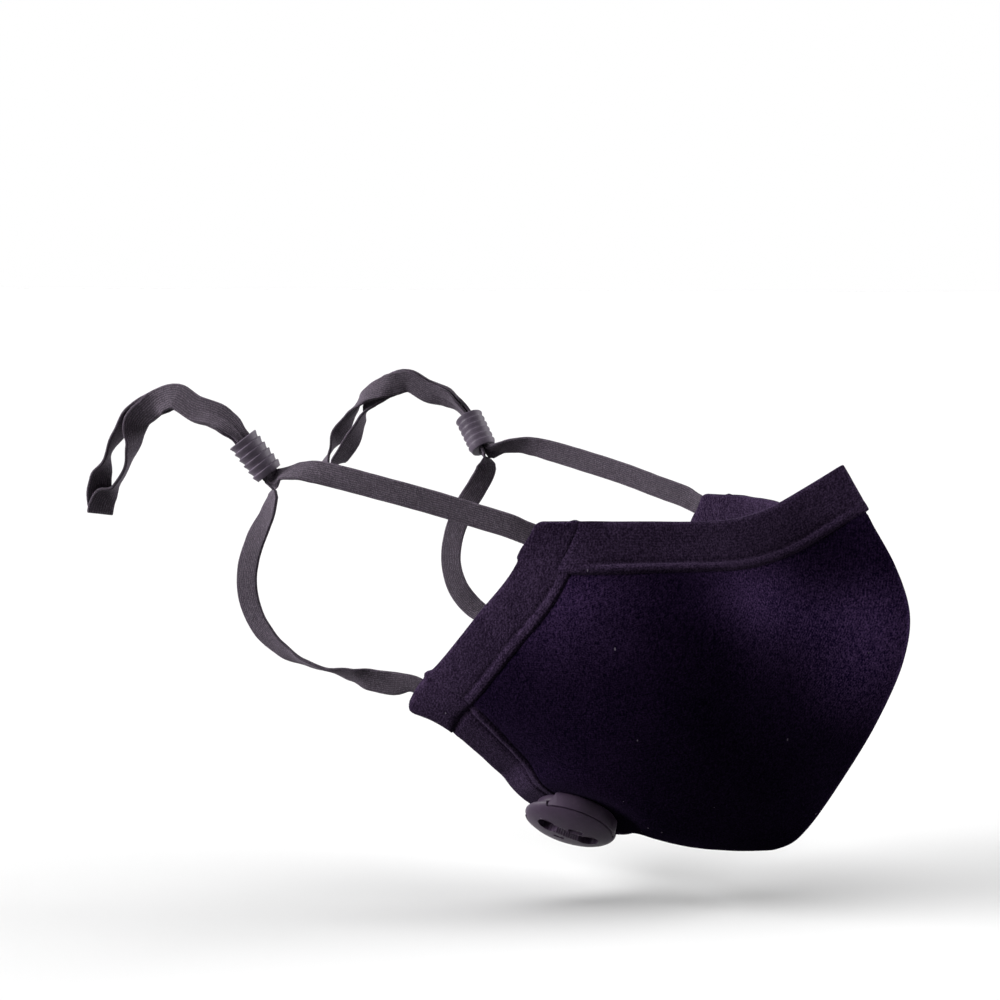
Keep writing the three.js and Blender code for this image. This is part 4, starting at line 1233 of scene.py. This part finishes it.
# Across a band from its folded edge: distance, outer face and inner face over the sheet.
BAND_SECTION = [
    (0.0, 0.0, 0.0), (0.1, 0.55, 0.5), (0.35, 0.95, 0.9), (0.8, 1.3, 1.2), (1.6, 1.5, 1.4),
    (3.2, 1.58, 1.5), (5.2, 1.6, 1.52), (7.4, 1.58, 1.52), (9.4, 1.5, 1.5), (10.7, 1.38, 1.48),
    (11.5, 1.16, 1.44), (12.0, 0.86, 1.4), (12.3, 0.78, 1.38), (12.6, 0.95, 1.38),
    (12.9, 1.42, 1.4), (13.3, 1.78, 1.4), (13.9, 1.95, 1.4), (14.5, 1.84, 1.38),
    (14.95, 1.52, 1.34), (15.2, 1.1, 1.28), (15.45, 0.62, 1.1), (15.6, 0.1, 0.5),
]
CUFF_SECTION = [
    (0.0, 0.0, 0.0), (0.12, 0.7, 0.65), (0.4, 1.15, 1.1), (0.9, 1.55, 1.45), (1.8, 1.85, 1.65),
    (4.0, 2.05, 1.75), (7.0, 2.1, 1.75), (10.0, 2.1, 1.75), (12.4, 2.0, 1.7), (13.6, 1.9, 1.65),
    (14.5, 1.65, 1.5), (15.1, 1.2, 1.3), (15.45, 0.7, 0.9), (15.6, 0.0, 0.0),
]


def closed_ring(outer, inner):
    """Outline round a band: out along the outer face and back along the inner one."""
    return np.concatenate([outer, inner[1:-1][::-1]], axis=0)


ACROSS, OUTER_RISE, INNER_RISE = np.array(BAND_SECTION).T
# Each cloth takes its unevenness from another part of the waves, by this shift in millimetres.
WAVE_SHIFT = {"top": 11, "hem": 23, "casing": 37, "cuff": 51}
# The same outer face without the groove beside the welt, and where a band dips under another.
EVEN_RISE = np.maximum(OUTER_RISE, np.interp(ACROSS, (9.4, 13.9), (1.5, 1.85), right=0))
TUCKED_RISE = np.interp(ACROSS, (9.4, 11.4, 12.1, 12.6), (1.5, 1.34, 0.95, 0.5)) * (ACROSS > 9)


def band_rings(half, spots, scale, shift, seam_press=0.0, even=0.0, tucked=0.0, soft=0.0):
    """Rings of a band: spots gives u, v (stations x rows), with the rows of BAND_SECTION.

    `even` and `tucked` are shares of EVEN_RISE and TUCKED_RISE, for each station or point.
    `soft` lowers the welt's crest.
    """
    u, v = spots
    points, normals = half.at(u, v)
    pressed = clamp_share(points)[0] if half.sign > 0 else np.zeros(u.shape)
    outer_rise = OUTER_RISE + (EVEN_RISE - OUTER_RISE) * even + 0 * u
    outer_rise -= soft * np.where(ACROSS > 12, np.clip(outer_rise - 1.3, 0, None), 0)
    outer_rise += np.where(ACROSS > 9, TUCKED_RISE - outer_rise, 0) * tucked
    outer_rise *= scale[:, None]
    inner_rise = INNER_RISE * scale[:, None]
    near_seam = np.exp(-(points[..., 0] / 4.5) ** 2) * seam_press
    outer_rise = outer_rise - near_seam * np.clip(outer_rise - 0.7, 0, None)
    wave = 0.1 * FINE_WAVE(points + shift) + 0.16 * EDGE_WAVE(points + shift)
    outer_rise = outer_rise + wave * np.minimum(outer_rise, 1)
    flat = np.minimum(outer_rise, PRESSED_HALF_WALL)
    outer_rise = outer_rise * (1 - pressed) + flat * pressed
    inner_rise = inner_rise * (1 - pressed) + np.minimum(inner_rise, PRESSED_HALF_WALL) * pressed
    outer = points + normals * outer_rise[..., None]
    inner = points - normals * inner_rise[..., None]
    rings = np.array([closed_ring(o, i) for o, i in zip(outer, inner)])
    along = lengths_along(points[:, len(BAND_SECTION) // 2])
    ring_across = closed_ring(ACROSS, ACROSS)
    uvs = np.stack(np.broadcast_arrays(ring_across[None, :], along[:, None]), axis=-1)
    return rings, uvs


def edge_band_spots(half, width, contour_of, start, end_gap):
    """Places of a band along the top edge or the hem, from the seam to inside the casing."""
    inner_end = half.side_contour(end_gap)
    shares = np.linspace(0, 1, 118)[:, None]
    contours = [contour_of(half, float(mm)) for mm in ACROSS * width / BAND_WIDTH]
    spots = settle(
        lambda vv: shares * np.interp(vv, SHARES, inner_end),
        lambda uu: np.column_stack([
            np.interp(uu[:, k], SHARES, line) for k, line in enumerate(contours)]),
        start + 0 * (shares + ACROSS))
    return spots, (1 - shares[:, 0]) * EDGE_BAND_LENGTH


def top_band_rings(side):
    half = HALVES[side]
    spots, from_end = edge_band_spots(half, BAND_WIDTH, Half.top_contour, 0, 10.6)
    scale = 0.5 + 0.5 * smooth_step(from_end / 1.6)
    even = (1 - smooth_step((from_end - 3) / 7))[:, None]
    return band_rings(half, spots, scale, WAVE_SHIFT["top"], 0.95, even)


def hem_band_rings(side):
    half = HALVES[side]
    spots, from_end = edge_band_spots(
        half, HEM_BAND_WIDTH, Half.hem_contour, 1, BAND_WIDTH - TUCK)
    scale = 0.5 + 0.5 * smooth_step((from_end - TUCK + 0.6) / 1.6)
    return band_rings(half, spots, scale, WAVE_SHIFT["hem"])


TOP_BAND_REACH = 14.2            # how far down the top band reaches, measured as CASING_LENGTH is
CASING_CORNER = 2.4


def casing_rings(side):
    half = HALVES[side]
    low = half.hem_contour(HEM_BAND_WIDTH - 2.4)
    ends = np.array([0, 0.02, 0.07, 0.15, 0.28, 0.45, 0.7, 1.0, 1.4, 1.9, 2.5, 3.2]) / CASING_LENGTH
    shares = np.concatenate([ends, np.linspace(ends[-1], 1, 100)[1:]])[:, None]
    contours = [half.side_contour(float(mm)) for mm in ACROSS]
    u, v = settle(
        lambda vv: np.column_stack([
            np.interp(vv[:, k], SHARES, line) for k, line in enumerate(contours)]),
        lambda uu: np.interp(uu, SHARES, low) * shares + 0 * uu,
        shares * 0.8 + 0 * ACROSS)
    from_top = shares[:, 0] * CASING_LENGTH
    from_cuff = CASING_LENGTH - from_top
    scale = rounded_edge(from_top, 1.1) * (0.5 + 0.5 * smooth_step((from_cuff - 1.2) / 1.6))
    below_top = half.blend(half.from_top, u, v)
    tucked = 1 - smooth_step((below_top - 12.2) / 2.2)
    even = 0.35 + 0.4 * (1 - smooth_step((below_top - 13) / 10))
    rings, uvs = band_rings(
        half, (u, v), scale, WAVE_SHIFT["casing"], 0, even, tucked, soft=0.6)
    # The folded edge stands a little proud just above the cuff.
    bulge = 1.0 * np.exp(-((from_cuff - 3.4) / 1.6) ** 2)
    # Above, the fold is wider as far down as the top band reaches, and its corner is round.
    bulge += 0.9 * smooth_step((from_top - 5) / 7) * (
        1 - smooth_step((from_top - TOP_BAND_REACH) / 2.2))
    past_corner = np.clip(CASING_CORNER - from_top, 0, CASING_CORNER)
    bulge -= CASING_CORNER - np.sqrt(CASING_CORNER ** 2 - past_corner ** 2)
    ring_across = closed_ring(ACROSS, ACROSS)
    outward = unit(rings[:, 0] - rings[:, 6])
    push = bulge[:, None] * np.clip(1 - ring_across / 4, 0, 1)
    # A small tuft stands up where the folded cloth ends at the top.
    tuft = 0.5 * np.exp(-((ring_across - 11) / 1.1) ** 2) * np.exp(-from_top / 0.7)[:, None]
    upwards = unit(rings[0] - rings[14])
    return rings + push[..., None] * outward[:, None, :] + tuft[..., None] * upwards, uvs


CUFF_CORNER = 5.0
CUFF_REACH = 20                  # how far in from the edges the cuff's lines are looked up
CUFF_LINES = 80


def rounded_corner(a, b, r=CUFF_CORNER):
    """Moves a square grid's outer corner on to an arc of radius `r`."""
    reach = np.hypot(r - a, r - b)
    inside = (a < r) & (b < r) & (reach > r)
    safe = np.maximum(reach, 1e-9)
    return (np.where(inside, r - (r - a) * r / safe, a),
            np.where(inside, r - (r - b) * r / safe, b))


def make_cuff(side):
    half = HALVES[side]
    fine = np.array(CUFF_SECTION)
    marks = np.interp(np.linspace(0, len(fine) - 1, 3 * len(fine) - 2),
                      np.arange(len(fine)), fine[:, 0])
    rise = np.interp(marks, fine[:, 0], fine[:, 1])
    depth = np.interp(marks, fine[:, 0], fine[:, 2])
    a, b = np.meshgrid(marks, marks * HEM_BAND_WIDTH / BAND_WIDTH, indexing="ij")
    a, b = rounded_corner(a, b)
    depths = np.linspace(0, CUFF_REACH, CUFF_LINES + 1)
    side_lines = np.array([half.side_contour(mm) for mm in depths])
    hem_lines = np.array([half.hem_contour(mm) for mm in depths])

    def look_up(lines, mm, position):
        row = np.clip(mm / CUFF_REACH * CUFF_LINES, 0, CUFF_LINES - 0.001)
        low = row.astype(int)
        share = row - low
        column = np.clip(position * STEPS, 0, STEPS - 1e-6)
        left = column.astype(int)
        part = column - left
        lower = lines[low, left] * (1 - part) + lines[low, left + 1] * part
        upper = lines[low + 1, left] * (1 - part) + lines[low + 1, left + 1] * part
        return lower * (1 - share) + upper * share

    u, v = settle(lambda vv: look_up(side_lines, a, vv), lambda uu: look_up(hem_lines, b, uu),
                  np.ones_like(a), 8)
    points, normals = half.at(u, v)
    shifted = points + WAVE_SHIFT["cuff"]
    wave = 1 + 0.06 * FINE_WAVE(shifted) + 0.05 * EDGE_WAVE(shifted)
    outer_rise = np.minimum.outer(rise, rise) * wave
    inner_rise = np.minimum.outer(depth, depth)
    outer = points + normals * outer_rise[..., None]
    inner = points - normals * inner_rise[..., None]
    place = np.stack(np.meshgrid(marks, marks, indexing="ij"), axis=-1)
    piece = mesh_piece(f"cloth_cuff_{side}", *two_skins(outer, inner, place)[:3])
    work = bmesh.new()
    work.from_mesh(piece.data)
    bmesh.ops.remove_doubles(work, verts=work.verts[:], dist=1e-7)
    bmesh.ops.recalc_face_normals(work, faces=work.faces[:])
    work.to_mesh(piece.data)
    work.free()
    return piece


def joined_halves(name, right, left):
    """One bar across the midplane from the rings of both halves."""
    rings = np.concatenate([left[0][::-1], right[0][1:]])
    uvs = np.concatenate([left[1][::-1] * (1, -1), right[1][1:]])
    return ring_loft(name, rings, uvs)


def make_bands():
    top = joined_halves("cloth_top_band", top_band_rings("right"), top_band_rings("left"))
    finish_piece(top, BAND_CLOTH, "top_band")
    hem = joined_halves("cloth_hem_band", hem_band_rings("right"), hem_band_rings("left"))
    cut_with(hem, valve_hole_tool())
    hem.data.shade_smooth()
    finish_piece(hem, BAND_CLOTH, "bottom_band")
    for side in SIDES:
        casing = ring_loft(f"cloth_casing_{side}", *casing_rings(side))
        finish_piece(casing, BAND_CLOTH, f"side_casing_{side}")
        finish_piece(make_cuff(side), BAND_CLOTH, f"corner_cuff_{side}")


make_bands()


# ------------------------------------------------------------------ ribbed sliders

SLIDER_RADIUS = 4.7
SLIDER_GROOVE_RADIUS = 4.1
RIB_COUNT = 6
# One rib: height as a share of the way to the next rib, and radius.
RIB_OUTLINE = [(0.03, SLIDER_GROOVE_RADIUS), (0.4, SLIDER_GROOVE_RADIUS + 0.22),
               (0.8, SLIDER_RADIUS), (0.93, SLIDER_RADIUS)]
BORE_WIDTH = 6.8
BORE_HEIGHT = 3.4


def make_slider():
    """Barrel with saw-tooth ribs and an oblong bore, standing on the origin."""
    pitch = SLIDER_LENGTH / RIB_COUNT
    rows = [(0, 0)]
    for k in range(RIB_COUNT):
        rows += [(radius, (k + share) * pitch) for share, radius in RIB_OUTLINE]
    rows += [(SLIDER_RADIUS - 0.3, SLIDER_LENGTH), (0, SLIDER_LENGTH)]
    barrel = bevelled(spun("slider_barrel", rows, 64), 0.07)
    bore = rod(BORE_HEIGHT / 2, -1, SLIDER_LENGTH + 1)
    half = (BORE_WIDTH - BORE_HEIGHT) / 2
    shift_part(bore, lambda place: place.x > 0.01, (half, 0, 0))
    shift_part(bore, lambda place: place.x < 0.01, (-half, 0, 0))
    cut_with(barrel, bore)
    return bevelled(barrel, 0.12, 60)


def place_sliders():
    across = np.cross(BORE_AXIS, BORE_FACE)
    matrix = frame_matrix(SLIDER_LOW, across, BORE_AXIS)
    barrel = make_slider()
    right = own_copy(barrel, "ribbed_slider_right", matrix)
    left = own_copy(barrel, "ribbed_slider_left", Matrix.Diagonal((-1, 1, 1, 1)) @ matrix)
    left.data.flip_normals()
    bpy.data.objects.remove(barrel)
    finish_piece(right, SLIDER_RUBBER, "slider_right")
    finish_piece(left, SLIDER_RUBBER, "slider_left")


# ------------------------------------------------------------------ exhalation valve

# Closed line round the cover's wall: radius and height over the middle of the cloth.
COVER_SECTION = [
    (0, 9.0), (1.6, 8.97), (3.1, 8.88), (4.6, 8.74), (6.1, 8.54), (7.5, 8.29), (8.8, 8.0),
    (10.0, 7.68), (11.1, 7.32), (12.1, 6.92), (12.9, 6.46), (13.45, 5.98), (13.8, 5.45),
    (13.9, 5.1), (13.9, 4.9), (12.7, 4.9), (12.7, 6.0), (10.7, 6.2), (10.7, 3.6), (9.6, 3.6),
    (9.6, 6.1), (8.2, 6.3), (0, 6.6),
]
OUTER_POINTS = 14                # how many of them lie on the outside
# Openings on both sides of the wall and of the skirt: two radii, two heights and an arc.
OUTLET = (12.1, 14.9, 3.9, 6.3, (9, 131))
SKIRT_GAP = (9.0, 11.2, 3.0, 6.1, (17, 123))
# Slots in the top: their size, the two heights and the place.
SLOTS = [(4.4, 1.9, 5, 10, (2.0, 3.4)), (3.1, 1.3, 5, 10, (-1.9, -4.3))]
LOBE = {"x": 6.4, "y": 0.9, "radius": 3.05, "floor": 6.2}
FLUTE = {"count": 11, "pitch": 0.76, "radius": 0.46, "start": -1.9, "end": 1.5, "depth": 1.7}

LUG = {
    "arc": (12, 128), "slant": 26, "square_to": 5.2,
    "chamfer": [(12.8, 1.1), (14.9, 1.1), (14.9, 3.2)],
}


def cover_height(x, y):
    radii, heights = zip(*COVER_SECTION[:OUTER_POINTS])
    return float(np.interp(math.hypot(x, y), radii, heights))


def sector(inner, outer, low, high, arc, half_turn):
    corners = [(inner, low), (outer, low), (outer, high), (inner, high)]
    return spun("sector", corners, 40, arc[0] + 180 * half_turn, arc[1] - arc[0])


def cut_flutes(cover):
    """A row of tapering flutes along the waist between the two round recesses."""
    length = FLUTE["end"] - FLUTE["start"]
    cutter = rod(FLUTE["radius"], 0, math.hypot(length, FLUTE["depth"]) + 0.4, sides=16)
    lay_down = Matrix.Rotation(-math.pi / 2, 4, "X")
    cutter.data.transform(lay_down)
    shift_part(cutter, lambda place: place.z > 0.02, (0, 0, 3))
    cutter.data.transform(Matrix.Rotation(-math.atan2(FLUTE["depth"], length), 4, "X"))
    for k in range(FLUTE["count"]):
        x = (k - (FLUTE["count"] - 1) / 2) * FLUTE["pitch"]
        middle = -LOBE["y"] * math.sin(x / LOBE["x"] * math.pi / 2)
        y = middle + FLUTE["start"]
        spot = Vector((x, y, cover_height(x, y) + FLUTE["radius"])) * MM
        cut_with(cover, own_copy(cutter, "flute", Matrix.Translation(spot)))
    bpy.data.objects.remove(cutter)


def make_cover():
    """The pierced cap: windows, skirt gaps, two round recesses, flutes and slots."""
    cover = spun("valve_cover", COVER_SECTION)
    for half_turn in (0, 1):
        cut_with(cover, sector(*OUTLET, half_turn))
        cut_with(cover, sector(*SKIRT_GAP, half_turn))
    lobes = [(-LOBE["x"] * sign, LOBE["y"] * sign) for sign in (1, -1)]
    for spot in lobes:
        cut_with(cover, rod(LOBE["radius"] + 0.7, LOBE["floor"] - 0.8, 7.4, spot), "UNION")
    cut_flutes(cover)
    for spot in lobes:
        cut_with(cover, rod(LOBE["radius"], LOBE["floor"], 10, spot, 64))
    for slot in SLOTS:
        cut_with(cover, block(*slot))
    cover = bevelled(cover, 0.14, 40)
    cover.data.transform(VALVE_MATRIX)
    return cover


def lug_end_cutter(angle, way):
    """Slants the end of an outlet lug back from the cloth."""
    cutter = block(3.9, 4, -4.5, 2, (13.1, -2 * way))
    cutter.data.transform(Matrix.Rotation(math.radians(LUG["slant"]) * way, 4, "X"))
    cutter.data.transform(Matrix.Translation((0, 0, LUG["square_to"] * MM)))
    cutter.data.transform(Matrix.Rotation(math.radians(angle), 4, "Z"))
    return cutter


def make_seat():
    """The frame's seat, with its two outlet lugs chamfered along the cloth and at their ends."""
    seat = own_copy(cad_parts["valve_seat"], "valve_collar", Matrix.Identity(4))
    edit(seat)
    tidy(seat)
    cutters = [spun("chamfer", LUG["chamfer"])]
    for half_turn in (0, 180):
        for angle, way in zip(LUG["arc"], (1, -1)):
            cutters.append(lug_end_cutter(angle + half_turn, way))
    for cutter in cutters:
        cutter.data.transform(VALVE_MATRIX)
        cut_with(seat, cutter)
    return bevelled(seat, 0.12, 30)


place_sliders()
finish_piece(make_cover(), VALVE_PLASTIC, "valve_cap")
finish_piece(make_seat(), VALVE_PLASTIC, "valve_seat")


# ------------------------------------------------------------------ plain nodes

# These two keep the frame's own shapes.

for name, material in (("valve_ring", VALVE_PLASTIC), ("valve_flap", VALVE_SILICONE)):
    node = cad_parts[name]
    node.data.materials.clear()
    node.data.materials.append(material)
